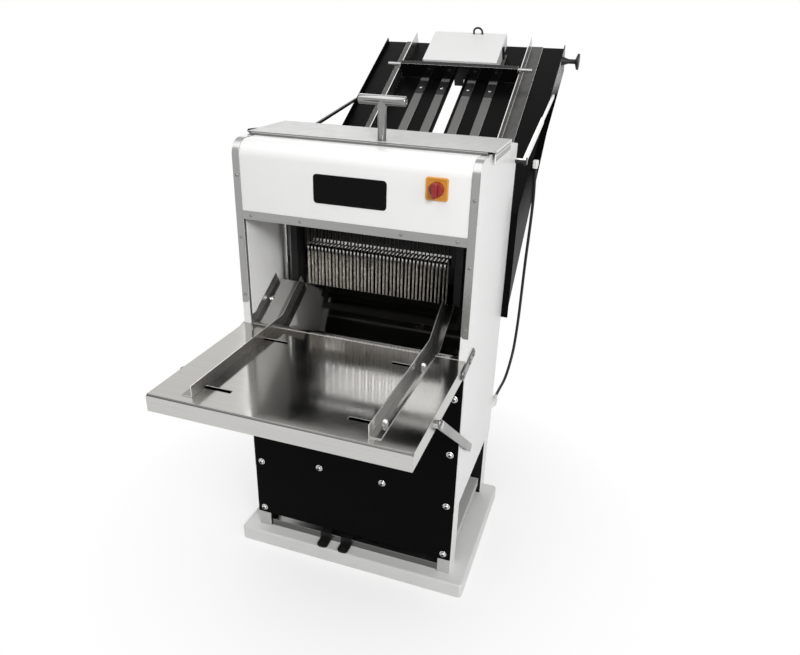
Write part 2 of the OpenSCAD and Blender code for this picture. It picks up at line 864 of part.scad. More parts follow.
// Dome nuts on studs that run in the table's slots
nut_d = 15;
nut_high = 7;
nut_under = 7;
module guide_nuts() {
    at_front()
        for (y = [-slot_front, -slot_rear])
            translate([guide_half + nut_in, y, table_top + gap + sheet]) {
                cylinder(h = nut_high, d = nut_d, $fn = 6);
                translate([0, 0, nut_high]) intersection() {
                    sphere(d = nut_d * cos(30));
                    cylinder(h = nut_d, d = nut_d);
                }
                translate([0, 0, -sheet - gap - sheet - nut_under])
                    cylinder(h = 2 * sheet + gap + nut_under, d = stud_d);
                translate([0, 0, -sheet - gap - sheet - nut_under])
                    cylinder(h = nut_under - gap, d = nut_d, $fn = 6);
            }
}
module guide_nuts_right() {
    color(shade_steel) guide_nuts();
}
module guide_nuts_left() {
    color(shade_steel) mirror([1, 0, 0]) guide_nuts();
}

// Black chute floor, narrow inside the body and wide behind it
chute_half = chute_width / 2;
floor_thick = 3;
floor_low = up_path(blade_y + frame_step + frame_bar / 2 + slide_gap);
floor_out = up_path(body_depth + slide_gap);
keel_slot = 40;
keel_start = 60;
keel_stop = 120;
keel_low = floor_out + keel_start;
keel_high = chute_end - keel_stop;
module chute_tray() {
    color(shade_dark) on_path() difference() {
        union() {
            box([-inner, floor_low, -floor_thick], [inner, floor_out, 0]);
            box([floor_thick - chute_half, floor_out, -floor_thick],
                [chute_half - floor_thick, chute_end, 0]);
        }
        box([-keel_slot / 2, keel_low, -floor_thick - over], [keel_slot / 2, keel_high, over]);
    }
}
// Chute side plates down to a bar across the rear of the body
lip = 15;
brace_z = 740;
brace_high = 40;
brace_from = 1002;
brace_width = 26;
brace_thick = 5;
side_corner = on_side(brace_from, -side_depth);
foot_corner = [body_depth, brace_z];
module chute_sides() {
    color(shade_dark) at_front() {
        both_sides() {
            across(chute_half - floor_thick, chute_half)
                polygon([foot_corner, side_corner, on_side(chute_end, -side_depth),
                    on_side(chute_end, lip), on_side(up_path(body_depth + lip), lip),
                    [body_depth, on_side(floor_out, 0)[1]]]);
            across(chute_half - brace_width, chute_half - floor_thick)
                polygon([foot_corner, side_corner, side_corner + [0, brace_thick],
                    foot_corner + [0, brace_thick]]);
        }
        box([-chute_half, body_depth, brace_z - brace_high],
            [chute_half, body_depth + floor_thick, brace_z + brace_high]);
    }
}

// Black sheet that closes the rear of the body below the chute floor
rear_gap = 6;
rear_top = on_side(up_path(body_depth), -floor_thick)[1] - rear_gap;
module rear_panel() {
    color(shade_dark) at_front()
        box([gap - inner, body_depth - sheet, apron_bottom], [inner - gap, body_depth, rear_top]);
}

// Grey runners on the chute floor
runner_thick = 4;
runner_inner = 48;
runner_outer = 126;
runner_stop = 60;
runner_end = chute_end - runner_stop;
module chute_runners() {
    color(shade_grey) on_path() both_sides()
        for (x = [runner_inner, runner_outer])
            box([x - runner_width / 2, floor_out, 0], [x + runner_width / 2, runner_end, runner_thick]);
}

// Angles that guide the loaf down the chute
feed_foot = 45;
module infeed_guides() {
    color(shade_steel) on_path() both_sides() {
        box([feed_half, floor_out, 0], [feed_half + floor_thick, chute_end, feed_height]);
        box([feed_half + floor_thick, floor_out, 0], [feed_half + feed_foot, chute_end, floor_thick]);
    }
}

// Pusher that follows the loaf: plate, cheeks and a keel in the floor slot
push_back = 105;
push_s = keel_high - push_back;
push_thick = 18;
push_low = 7;
push_high = 61;
cheek_x = 100;
cheek_thick = 8;
cheek_long = 190;
cheek_top = 20;
rod_size = 12;
rod_n = feed_height + gap + rod_size / 2;
rod_s = push_s + push_thick / 2;
push_play = 4;
keel_play = 3;
keel_drop = 20;
module pusher_plate() {
    color(shade_dark) on_path(push_s) difference() {
        union() {
            box([push_play - feed_half, 0, push_low], [feed_half - push_play, push_thick, push_high]);
            both_sides()
                box([cheek_x, push_thick, push_low], [cheek_x + cheek_thick, cheek_long, cheek_top]);
            box([keel_play - keel_slot / 2, 0, -keel_drop],
                [keel_slot / 2 - keel_play, push_thick, push_low]);
        }
        translate([0, rod_s - push_s, rod_n])
            rod_x(-feed_half, feed_half, rod_size + 2 * rod_play);
    }
}
module pusher_rod() {
    color(shade_steel) on_path(rod_s, rod_n) rod_x(-feed_half - feed_foot, feed_half + feed_foot, rod_size);
}
// White weight on the pusher, with a bow handle and a latch bar
weight_high = 47;
weight_front = 22;
weight_long = 176;
weight_wall = 5;
module weight_box() {
    color(shade_white) on_path(push_s + weight_front, cheek_top) difference() {
        box([-weight_width / 2, 0, 0], [weight_width / 2, weight_long, weight_high]);
        box([weight_wall - weight_width / 2, weight_wall, -over],
            [weight_width / 2 - weight_wall, weight_long - weight_wall, weight_high - weight_wall]);
    }
}
bow_half = 19;
bow_bar = 7;
bow_rise = 20;
bow_set = 8;
bow_x = 30;
module weight_handle() {
    color(shade_dark) on_path(push_s + weight_front + weight_long - bow_set, cheek_top + weight_high)
    translate([bow_x, 0, 0]) {
        for (x = [-bow_half, bow_half - bow_bar])
            box([x, -bow_bar / 2, 0], [x + bow_bar, bow_bar / 2, bow_rise]);
        box([-bow_half, -bow_bar / 2, bow_rise], [bow_half, bow_bar / 2, bow_rise + bow_bar]);
    }
}
latch_side = 8;
module pusher_latch() {
    color(shade_dark) on_path(push_s + weight_front + weight_long / 2, cheek_top)
        box([weight_width / 2, 0, 0], [weight_width / 2 + latch_side, latch_side, weight_high]);
}

// Turning knob on the right edge of the chute
knob_back = 76;
knob_s = chute_end - knob_back;
knob_stem = 16;
knob_long = 46;
knob_d = 54;
knob_cone = 14;
module chute_knob() {
    color(shade_dark) on_path(knob_s) translate([chute_half + gap, 0, 0]) rotate([0, 90, 0])
        rotate_extrude() polygon([[0, 0], [knob_stem, 0], [knob_stem / 2, knob_long / 2],
            [knob_stem / 2, knob_long], [knob_d / 2, knob_long + knob_cone / 2],
            [knob_d / 2, knob_long + knob_cone], [0, knob_long + knob_cone]]);
}

// Stays between the body's rear top corners and the chute, thick on the right and thin on the left
stay_in = 14;
strut_drop = 74;
thin_drop = 46;
strut_back = 279;
thin_back = 370;
thin_off = 4;
strut_clear = 1;
stay_low = [body_depth - stay_in, body_height - strut_drop];
strut_up = on_side(chute_end - strut_back, 0);
strut_x = chute_half + strut_clear;
strut_thick = 8;
strut_r = 11;
strut_thin = 7;
stay_up = on_side(chute_end - thin_back, thin_off);
thin_low = [body_depth - stay_in, body_height - thin_drop];
thin_r = 4;
mid_share = 0.58;
module chute_strut() {
    middle = stay_low * (1 - mid_share) + strut_up * mid_share;
    color(shade_grey) at_front() {
        across(strut_x, strut_x + strut_thick) polygon(capsule(stay_low, middle, strut_r));
        across(strut_x + over, strut_x + strut_thick - over) polygon(capsule(stay_low, strut_up, strut_thin));
        translate([0, stay_low[0], stay_low[1]]) rod_x(half, strut_x, 2 * strut_thin);
        translate([0, strut_up[0], strut_up[1]]) rod_x(chute_half, strut_x + over, 2 * thin_r);
        translate([0, stay_low[0], stay_low[1]])
            rod_x(strut_x + strut_thick, strut_x + strut_thick + thin_r, 3 * strut_thin);
    }
}
module chute_stay() {
    color(shade_dark) at_front() mirror([1, 0, 0]) {
        across(strut_x, strut_x + strut_thick) polygon(capsule(thin_low, stay_up, thin_r));
        translate([0, thin_low[0], thin_low[1]]) rod_x(half, strut_x, thin_r);
        translate([0, stay_up[0], stay_up[1]]) rod_x(chute_half, strut_x, thin_r);
    }
}

// Cable from a clamp on the chute's right side down to a gland at the rear of the body
clamp_d = 18;
clamp_long = 26;
clamp_s = 740;
clamp_n = -18;
gland_d = 26;
gland_long = 60;
gland_z = 376;
cable_top = [chute_half + clamp_d / 2, on_side(clamp_s, clamp_n)[0], on_side(clamp_s, clamp_n)[1]];
cable_low = [half, body_depth + gland_long, gland_z];
cable_route = [cable_top, [350, 680, 1120], [350, 692, 1090], [349, 718, 1020], [347, 726, 920],
    [344, 730, 800], [342, 738, 680], [341, 740, 600], [339, 736, 520], [336, 716, 450],
    [330, 650, 392], [322, 575, 376], cable_low];
route_last = len(cable_route) - 1;
route_steps = 6;
cable_sides = 10;
function spline(a, b, c, d, t) = (2 * b + (c - a) * t + (2 * a - 5 * b + 4 * c - d) * t * t
    + (3 * b - a - 3 * c + d) * t * t * t) / 2;
cable_line = [
    for (i = [0:route_last - 1])
        for (j = [0:route_steps - 1])
            spline(cable_route[max(i - 1, 0)], cable_route[i], cable_route[i + 1],
                cable_route[min(i + 2, route_last)], j / route_steps),
    cable_route[route_last]];
function unit(v) = v / norm(v);
cable_last = len(cable_line) - 1;
function heading(i) = i == 0 ? [0, 0, -1] : i == cable_last ? [0, -1, 0]
    : unit(cable_line[i + 1] - cable_line[i - 1]);
function ring(i) = let (h = heading(i), u = unit(cross(h, [0.3, 0.5, 0.8])), w = cross(h, u))
    [for (k = [0:cable_sides - 1]) cable_line[i] + cable_diameter / 2
        * (u * cos(360 * k / cable_sides) + w * sin(360 * k / cable_sides))];
module cable() {
    color(shade_dark) at_front() polyhedron(
        points = [for (i = [0:cable_last]) each ring(i)],
        faces = [
            [for (k = [0:cable_sides - 1]) k],
            for (i = [0:cable_last - 1])
                for (k = [0:cable_sides - 1])
                    [i * cable_sides + k, (i + 1) * cable_sides + k,
                        (i + 1) * cable_sides + (k + 1) % cable_sides,
                        i * cable_sides + (k + 1) % cable_sides],
            [for (k = [cable_sides - 1:-1:0]) cable_last * cable_sides + k]]);
}
module cable_glands() {
    color(shade_white) at_front() {
        translate(cable_top) {
            cylinder(h = clamp_long, d = clamp_d);
            box([-clamp_d / 2, -clamp_d / 2, 0], [0, clamp_d / 2, clamp_long]);
        }
        translate([half, body_depth, gland_z])
            rotate([-90, 0, 0]) cylinder(h = gland_long, d = gland_d);
    }
}

base_plate();
frame_legs();
frame_rails();
front_cross_bar();
hold_down_clips();
side_panel_left();
side_panel_right();
front_upper_panel();
front_lower_panel();
lower_panel_bolts();
top_lid();
lid_channel();
edge_trim_left();
edge_trim_right();
opening_trim();
trim_screws();
badge_plate();
switch_plate();
switch_knob();
switch_body();
blade_frame_front();
blades_front();
blade_frame_rear();
blades_rear();
guide_rods();
blade_beams();
crankshaft();
crank_pulley();
crank_bearings();
motor();
motor_pulley();
drive_belt();
drive_shelf();
rear_panel();
hold_down_comb();
t_handle();
outfeed_slide();
outfeed_table();
table_brackets();
table_stay_left();
table_stay_right();
stay_studs();
table_guide_left();
table_guide_right();
guide_nuts_left();
guide_nuts_right();
chute_tray();
chute_sides();
chute_runners();
infeed_guides();
pusher_plate();
weight_box();
weight_handle();
pusher_rod();
pusher_latch();
chute_knob();
chute_strut();
chute_stay();
cable();
cable_glands();
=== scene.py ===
import json
import math

import bpy
from mathutils import Matrix, Vector

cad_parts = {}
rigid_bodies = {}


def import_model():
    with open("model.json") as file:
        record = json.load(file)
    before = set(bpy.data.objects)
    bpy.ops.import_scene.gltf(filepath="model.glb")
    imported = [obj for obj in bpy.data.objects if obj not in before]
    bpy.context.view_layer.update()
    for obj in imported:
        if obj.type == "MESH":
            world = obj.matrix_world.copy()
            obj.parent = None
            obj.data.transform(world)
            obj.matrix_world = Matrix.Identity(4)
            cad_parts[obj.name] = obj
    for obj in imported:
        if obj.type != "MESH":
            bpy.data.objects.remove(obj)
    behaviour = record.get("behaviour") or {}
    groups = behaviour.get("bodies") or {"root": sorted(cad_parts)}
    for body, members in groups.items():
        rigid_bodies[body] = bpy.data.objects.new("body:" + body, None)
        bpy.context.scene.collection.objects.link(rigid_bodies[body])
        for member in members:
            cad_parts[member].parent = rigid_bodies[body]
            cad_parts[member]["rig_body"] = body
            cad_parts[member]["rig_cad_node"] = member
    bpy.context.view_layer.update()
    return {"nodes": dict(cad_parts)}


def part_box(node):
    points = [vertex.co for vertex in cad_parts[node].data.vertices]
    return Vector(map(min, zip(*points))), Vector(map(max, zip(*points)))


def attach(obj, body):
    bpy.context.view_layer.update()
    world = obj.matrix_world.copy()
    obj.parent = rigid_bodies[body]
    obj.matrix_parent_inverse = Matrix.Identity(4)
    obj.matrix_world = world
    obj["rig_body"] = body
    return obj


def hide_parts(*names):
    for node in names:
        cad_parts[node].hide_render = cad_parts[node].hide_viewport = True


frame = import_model()
scene = bpy.context.scene

# Camera at the height of a standing person, a little to the right of the machine.
# It looks down on the table and the lid, as in the photograph.
photo_width = 800
focal_pixels = 671.684
sensor_width = 36.0
camera_place = Vector((0.632649, -1.706326, 1.556345))
camera_right = Vector((0.94480, 0.32647, 0.02789))
camera_up = Vector((-0.16101, 0.38844, 0.90730))
camera_back = Vector((0.28537, -0.86170, 0.41956))
camera_data = bpy.data.cameras.new("photo_camera")
camera_data.sensor_fit = "HORIZONTAL"
camera_data.sensor_width = sensor_width
camera_data.lens = focal_pixels * sensor_width / photo_width
camera_data.clip_end = 50
camera = bpy.data.objects.new("photo_camera", camera_data)
scene.collection.objects.link(camera)
camera.matrix_world = Matrix((
    (camera_right.x, camera_up.x, camera_back.x, camera_place.x),
    (camera_right.y, camera_up.y, camera_back.y, camera_place.y),
    (camera_right.z, camera_up.z, camera_back.z, camera_place.z),
    (0, 0, 0, 1),
))
scene.camera = camera

# Pale studio: a wide floor that fades to white and a white surround that metal can mirror.
# Four soft lamps light it: a large one overhead, a small one in front, one from the right, one behind.
scene.view_settings.view_transform = "Standard"


def link(tree, a, out, b, into):
    """Joins one shader node's output to another's input."""
    tree.links.new(a.outputs[out], b.inputs[into])


def seen_directly(tree):
    """One for rays from the camera, a mirror or glass, and nought for light that bounces on."""
    path = tree.nodes.new("ShaderNodeLightPath")
    some = tree.nodes.new("ShaderNodeMath")
    some.operation = "MAXIMUM"
    link(tree, path, "Is Camera Ray", some, 0)
    link(tree, path, "Is Glossy Ray", some, 1)
    every = tree.nodes.new("ShaderNodeMath")
    every.operation = "MAXIMUM"
    link(tree, some, 0, every, 0)
    link(tree, path, "Is Transmission Ray", every, 1)
    return every


world = bpy.data.worlds.new("studio")
scene.world = world
world.use_nodes = True
tree = world.node_tree
tree.nodes.clear()
light_air = tree.nodes.new("ShaderNodeBackground")
light_air.inputs["Color"].default_value = (1, 1, 1, 1)
light_air.inputs["Strength"].default_value = 0.26
white_air = tree.nodes.new("ShaderNodeBackground")
white_air.inputs["Color"].default_value = (1, 1, 1, 1)
white_air.inputs["Strength"].default_value = 1.0
which = tree.nodes.new("ShaderNodeMixShader")
surround = tree.nodes.new("ShaderNodeOutputWorld")
link(tree, seen_directly(tree), 0, which, "Fac")
link(tree, light_air, 0, which, 1)
link(tree, white_air, 0, which, 2)
link(tree, which, 0, surround, "Surface")

bpy.ops.object.select_all(action="DESELECT")
bpy.ops.mesh.primitive_circle_add(vertices=96, radius=9, fill_type="NGON", location=(0, 0, 0))
floor = bpy.context.object
floor.name = "studio_floor"
floor_paint = bpy.data.materials.new("pale_floor")
floor_paint.use_nodes = True
tree = floor_paint.node_tree
tree.nodes.clear()
matte = tree.nodes.new("ShaderNodeBsdfDiffuse")
matte.inputs["Color"].default_value = (0.93, 0.93, 0.93, 1)
glow = tree.nodes.new("ShaderNodeEmission")
glow.inputs["Color"].default_value = (1, 1, 1, 1)
glow.inputs["Strength"].default_value = 1.0
place = tree.nodes.new("ShaderNodeTexCoord")
far = tree.nodes.new("ShaderNodeVectorMath")
far.operation = "LENGTH"
link(tree, place, "Object", far, 0)
fade = tree.nodes.new("ShaderNodeMapRange")
fade.inputs["From Min"].default_value = 0.34
fade.inputs["From Max"].default_value = 0.95
fade.inputs["To Min"].default_value = 0.6
fade.inputs["To Max"].default_value = 1.0
link(tree, far, "Value", fade, "Value")
faded = tree.nodes.new("ShaderNodeMath")
faded.operation = "MULTIPLY"
link(tree, seen_directly(tree), 0, faded, 0)
link(tree, fade, "Result", faded, 1)
blend = tree.nodes.new("ShaderNodeMixShader")
surface = tree.nodes.new("ShaderNodeOutputMaterial")
link(tree, faded, 0, blend, "Fac")
link(tree, matte, 0, blend, 1)
link(tree, glow, 0, blend, 2)
link(tree, blend, 0, surface, "Surface")
floor.data.materials.append(floor_paint)


def soft_lamp(name, place, aim, size, power):
    """Square lamp that points at a place on the machine."""
    lamp_data = bpy.data.lights.new(name, "AREA")
    lamp_data.shape = "SQUARE"
    lamp_data.size = size
    lamp_data.energy = power
    lamp = bpy.data.objects.new(name, lamp_data)
    scene.collection.objects.link(lamp)
    lamp.location = place
    lamp.rotation_euler = (Vector(aim) - Vector(place)).to_track_quat("-Z", "Y").to_euler()


soft_lamp("overhead_lamp", (-0.6, -0.9, 3.4), (0, 0.1, 0.8), size=2.6, power=40)
soft_lamp("right_lamp", (3.0, -1.2, 2.0), (0.2, 0.1, 0.7), size=1.6, power=24)
soft_lamp("front_lamp", (1.7, -2.3, 2.5), (0, 0, 0.9), size=0.7, power=50)
soft_lamp("rear_lamp", (-1.2, 3.0, 2.6), (0, 0.4, 0.9), size=2.0, power=14)

# Black rubber cable from a clamp on the chute's right side to a gland at the cabinet's rear.
# It hangs free between the two in one slack bow.
cable_route = [
    (0.3500, 0.4596, 1.1337), (0.350, 0.462, 1.120), (0.350, 0.474, 1.090), (0.349, 0.500, 1.020),
    (0.347, 0.508, 0.920), (0.344, 0.512, 0.800), (0.342, 0.520, 0.680), (0.341, 0.522, 0.600),
    (0.339, 0.518, 0.520), (0.336, 0.498, 0.450), (0.330, 0.432, 0.392), (0.322, 0.357, 0.376),
    (0.320, 0.312, 0.376),
]
cable_thickness = 0.010


def along(a, b, c, d, t):
    """Point on a smooth line through four knots, a share of the way from the second to the third."""
    bend = 2 * a - 5 * b + 4 * c - d
    twist = 3 * b - a - 3 * c + d
    return (2 * b + (c - a) * t + bend * t ** 2 + twist * t ** 3) / 2


steps = 3
knots = [Vector(p) for p in cable_route]
last = len(knots) - 1
cable_line = [
    along(knots[max(i - 1, 0)], knots[i], knots[i + 1], knots[min(i + 2, last)], j / steps)
    for i in range(last) for j in range(steps)
] + [knots[last]]


def tube(name, line, radius, pieces, caps=False):
    """Cord or round bar along a line of points."""
    curve = bpy.data.curves.new(name, "CURVE")
    curve.dimensions = "3D"
    curve.bevel_depth = radius
    curve.bevel_resolution = 4
    curve.resolution_u = pieces
    curve.use_fill_caps = caps
    spline = curve.splines.new("BEZIER")
    spline.bezier_points.add(len(line) - 1)
    for knot, point in zip(spline.bezier_points, line):
        knot.co = point
        knot.handle_left_type = "AUTO"
        knot.handle_right_type = "AUTO"
    piece = bpy.data.objects.new(name, curve)
    scene.collection.objects.link(piece)
    return piece


power_cable = tube("power_cable", cable_line, cable_thickness / 2, pieces=3)


def shade(tree, colour, low, high, pattern, into):
    """Mixes a darker and a lighter tone of a colour by a pattern."""
    mix = tree.nodes.new("ShaderNodeMix")
    mix.data_type = "RGBA"
    mix.inputs[6].default_value = (*[c * low for c in colour], 1)
    mix.inputs[7].default_value = (*[min(c * high, 1) for c in colour], 1)
    link(tree, pattern, 0, mix, 0)
    link(tree, mix, 2, into, "Base Color")


def grain(tree, stretch, scale, detail=3.0):
    """Noise on the piece's own coordinates, stretched along chosen axes."""
    place = tree.nodes.new("ShaderNodeTexCoord")
    turn = tree.nodes.new("ShaderNodeMapping")
    turn.inputs["Scale"].default_value = stretch
    noise = tree.nodes.new("ShaderNodeTexNoise")
    noise.inputs["Scale"].default_value = scale
    noise.inputs["Detail"].default_value = detail
    link(tree, place, "Object", turn, "Vector")
    link(tree, turn, "Vector", noise, "Vector")
    return noise


def spread(tree, pattern, low, high, into, socket):
    """Runs a pattern between two values of a socket."""
    band = tree.nodes.new("ShaderNodeMapRange")
    band.inputs["From Min"].default_value = 0.3
    band.inputs["From Max"].default_value = 0.7
    band.inputs["To Min"].default_value = low
    band.inputs["To Max"].default_value = high
    link(tree, pattern, 0, band, "Value")
    link(tree, band, "Result", into, socket)


def relief(tree, pattern, depth, strength, into):
    """Turns a pattern into fine relief on the surface."""
    bump = tree.nodes.new("ShaderNodeBump")
    bump.inputs["Strength"].default_value = strength
    bump.inputs["Distance"].default_value = depth
    link(tree, pattern, 0, bump, "Height")
    link(tree, bump, "Normal", into, "Normal")


def coated(name, colour, rough, peel=900.0, strength=0.12, tone=0.05, gloss=0.5):
    """Paint, plastic or rubber: even colour with faint clouding and a fine skin."""
    coat = bpy.data.materials.new(name)
    coat.use_nodes = True
    tree = coat.node_tree
    skin = tree.nodes["Principled BSDF"]
    skin.inputs["Specular IOR Level"].default_value = gloss
    clouds = grain(tree, (1, 1, 1), 9.0)
    shade(tree, colour, 1 - tone, 1 + tone, clouds, skin)
    spread(tree, grain(tree, (1, 1, 1), 38.0), rough - 0.05, rough + 0.07, skin, "Roughness")
    relief(tree, grain(tree, (1, 1, 1), peel, 2.0), 0.0004, strength, skin)
    return coat


black_rubber = coated("black_rubber", (0.012, 0.012, 0.012), 0.42, peel=700.0, strength=0.2, gloss=0.3)
power_cable.data.materials.append(black_rubber)
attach(power_cable, "body")
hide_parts("cable")

# White moulded clamp and gland that hold the cable's two ends.
# The clamp sits on a small foot on the chute. The gland is a nut with a groove round it and a
# tapered sleeve, which saves the cable from a sharp bend.
white_plastic = coated("white_plastic", (0.76, 0.76, 0.75), 0.4, peel=600.0, strength=0.1)


def only(piece):
    """Leaves edit mode and makes one piece the selected and active one."""
    if bpy.context.mode != "OBJECT":
        bpy.ops.object.mode_set(mode="OBJECT")
    bpy.ops.object.select_all(action="DESELECT")
    piece.select_set(True)
    bpy.context.view_layer.objects.active = piece


def edit(piece, kind="EDGE"):
    """Opens one piece in edit mode, to work on its edges or another kind of part."""
    only(piece)
    bpy.ops.object.mode_set(mode="EDIT")
    bpy.ops.mesh.select_mode(type=kind)


def pick_edges(piece, test):
    """Selects the edges whose two ends pass a test, and leaves edit mode on."""
    edit(piece)
    bpy.ops.mesh.select_all(action="DESELECT")
    bpy.ops.object.mode_set(mode="OBJECT")
    corners = piece.data.vertices
    for side in piece.data.edges:
        side.select = test(corners[side.vertices[0]].co, corners[side.vertices[1]].co)
    bpy.ops.object.mode_set(mode="EDIT")


def pick_faces(piece, test):
    """Selects the faces whose centre and normal pass a test, and leaves edit mode on."""
    edit(piece, "FACE")
    bpy.ops.mesh.select_all(action="DESELECT")
    bpy.ops.object.mode_set(mode="OBJECT")
    for side in piece.data.polygons:
        side.select = test(side.center, side.normal)
    bpy.ops.object.mode_set(mode="EDIT")


def smooth(piece, degrees=35):
    """Shades a piece round where its faces meet at less than an angle."""
    bpy.ops.object.mode_set(mode="OBJECT")
    only(piece)
    bpy.ops.object.shade_smooth_by_angle(angle=math.radians(degrees))


def settle(piece, name, coat, body, nodes):
    """Puts a piece's place into its mesh, paints it and fixes it to its body."""
    only(piece)
    bpy.ops.object.transform_apply(location=True, rotation=True, scale=True)
    piece.name = name
    piece.data.materials.clear()
    for one in coat if isinstance(coat, tuple) else (coat,):
        piece.data.materials.append(one)
    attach(piece, body)
    if nodes:
        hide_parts(*nodes)
    return piece


def turned(outline, sides, start=(0, 0, 0), axis=(0, 0, 1)):
    """Turned part: rings of given radius and distance, swept up from a disc."""
    bpy.ops.object.select_all(action="DESELECT")
    bpy.ops.mesh.primitive_circle_add(vertices=sides, radius=outline[0][0], fill_type="NGON")
    piece = bpy.context.object
    edit(piece, "FACE")
    bpy.ops.mesh.select_all(action="SELECT")
    for (r0, d0), (r1, d1) in zip(outline, outline[1:]):
        bpy.ops.mesh.extrude_region_move(TRANSFORM_OT_translate={"value": (0, 0, d1 - d0)})
        bpy.ops.transform.resize(value=(r1 / r0, r1 / r0, 1), center_override=(0, 0, d1 - outline[0][1]))
    bpy.ops.mesh.select_all(action="SELECT")
    bpy.ops.mesh.normals_make_consistent(inside=False)
    smooth(piece)
    piece.rotation_euler = Vector(axis).to_track_quat("Z", "Y").to_euler()
    piece.location = start
    only(piece)
    bpy.ops.object.transform_apply(location=True, rotation=True, scale=True)
    return piece


def block(middle, size):
    """Plain box, to be shaped further."""
    bpy.ops.object.select_all(action="DESELECT")
    bpy.ops.mesh.primitive_cube_add(size=1, location=middle, scale=size)
    bpy.ops.object.transform_apply(location=True, rotation=True, scale=True)
    return bpy.context.object


def eased_block(middle, size, edge):
    """Box with all its edges rounded off."""
    piece = block(middle, size)
    edit(piece)
    bpy.ops.mesh.select_all(action="SELECT")
    bpy.ops.mesh.bevel(offset=edge, segments=2)
    smooth(piece)
    return piece


def joined(pieces):
    """Several meshes made one."""
    bpy.ops.object.select_all(action="DESELECT")
    for piece in pieces:
        piece.select_set(True)
    bpy.context.view_layer.objects.active = pieces[0]
    if len(pieces) > 1:
        bpy.ops.object.join()
    return bpy.context.object


clamp_outline = [(0.0066, 0), (0.0078, 0.006), (0.0088, 0.010), (0.0090, 0.020), (0.0090, 0.0245),
                 (0.0080, 0.026)]
clamp = turned(clamp_outline, 24, cable_route[0])
clamp_foot = eased_block(middle=(0.3455, 0.4596, 1.1467), size=(0.009, 0.017, 0.024), edge=0.0015)
gland_outline = [(0.0130, 0), (0.0130, 0.010), (0.0115, 0.0105), (0.0115, 0.014), (0.0130, 0.0145),
                 (0.0130, 0.026), (0.0112, 0.031), (0.0086, 0.046), (0.0066, 0.060)]
gland = turned(gland_outline, 24, start=(0.320, 0.252, 0.376), axis=(0, 1, 0))
settle(joined([clamp, clamp_foot, gland]), "cable_holders", white_plastic, "body", ["cable_glands"])

# Base slab: a thick painted board with rounded corners and eased edges.
# The paint is rolled on and a little uneven, and the legs stand on it.
base_paint = coated("base_paint", (0.71, 0.71, 0.70), 0.5, peel=260.0, strength=0.25, tone=0.06)


def level(piece):
    """Keeps the light flat across large faces beside rounded edges."""
    only(piece)
    flat = piece.modifiers.new("flat_faces", "WEIGHTED_NORMAL")
    flat.keep_sharp = True
    flat.weight = 90
    bpy.ops.object.modifier_apply(modifier=flat.name)


def merged_copy(node):
    """Copy of a CAD piece with its doubled points merged and its flat faces whole."""
    only(frame["nodes"][node])
    bpy.ops.object.duplicate()
    piece = bpy.context.object
    piece.parent = None
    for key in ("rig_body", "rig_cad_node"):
        del piece[key]
    edit(piece)
    bpy.ops.mesh.select_all(action="SELECT")
    bpy.ops.mesh.remove_doubles(threshold=0.00002)
    bpy.ops.mesh.dissolve_limited(angle_limit=math.radians(0.5))
    bpy.ops.object.mode_set(mode="OBJECT")
    return piece


def ease(piece, width, segments, angle):
    """Rounds the edges where faces meet at more than an angle."""
    only(piece)
    rounding = piece.modifiers.new("eased_edges", "BEVEL")
    rounding.width = width
    rounding.segments = segments
    rounding.limit_method = "ANGLE"
    rounding.angle_limit = math.radians(angle)
    bpy.ops.object.modifier_apply(modifier=rounding.name)


def soften(node, width, segments=2, shaping=None):
    """Copy of a CAD piece with its sharp edges eased, as sheet and bar have after finishing."""
    piece = merged_copy(node)
    if shaping:
        shaping(piece)
    if width:
        ease(piece, width, segments, angle=32)
    smooth(piece)
    level(piece)
    return piece


def dress(node, name, coat, slot, width, body="body", **how):
    """Puts an eased and painted copy of a CAD piece in its place, on its own body."""
    return settle(soften(node, width, **how), name, coat, body, [node])


dress("base_plate", "base_slab", base_paint, "base_board", 0.006, segments=4)

# Frame of welded square tube that carries the panels and the drive.
# The legs are painted white outside and grey in front as painted light and shade, and everything inside the
# cabinet is painted black as painted shade.
inner_painted_shade = coated("inner_painted_shade", (0.006, 0.006, 0.006), 0.5, peel=600.0, strength=0.1, gloss=0.15)
leg_white = coated("leg_white", (0.80, 0.80, 0.795), 0.36, strength=0.08, tone=0.02)
leg_shade_grey = coated("leg_shade_grey", (0.52, 0.52, 0.51), 0.42)


def tint(piece, index, test):
    """Gives another of a piece's materials to the faces whose centre and normal pass a test."""
    for side in piece.data.polygons:
        if test(side.center, side.normal):
            side.material_index = index


legs = dress("frame_legs", "legs", (inner_painted_shade, leg_white, leg_shade_grey), "grey_paint", 0.0015)
leg_low, leg_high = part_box("frame_legs")
leg_skin = 0.002
# Painted light and shade on the legs: fronts grey, outer sides white, all other faces black.
tint(legs, 2, lambda c, n: c.y < leg_low.y + leg_skin)
tint(legs, 1, lambda c, n: abs(c.x) > leg_high.x - leg_skin)
rails = dress("frame_rails", "rail_tubes", (inner_painted_shade, leg_shade_grey), "grey_paint", 0.001)
low_rails = 0.15
rail_inner = 0.27
# The low outer rails take the painted grey, the rest of the rails the painted black shade.
tint(rails, 1, lambda c, n: c.z < low_rails and abs(c.x) > rail_inner)
# Blade beams and drive shelf are painted black all over as painted shade inside the cabinet.
for node in ("blade_beams", "drive_shelf"):
    dress(node, node + "_sheet", inner_painted_shade, "grey_paint", 0.001)

# Bright tube between the front legs, with two black clips and their bolts.
# The tube lies on the slab and the clips hold it down.
black_plastic = coated("black_plastic", (0.009, 0.009, 0.009), 0.42, peel=500.0, strength=0.15, gloss=0.3)


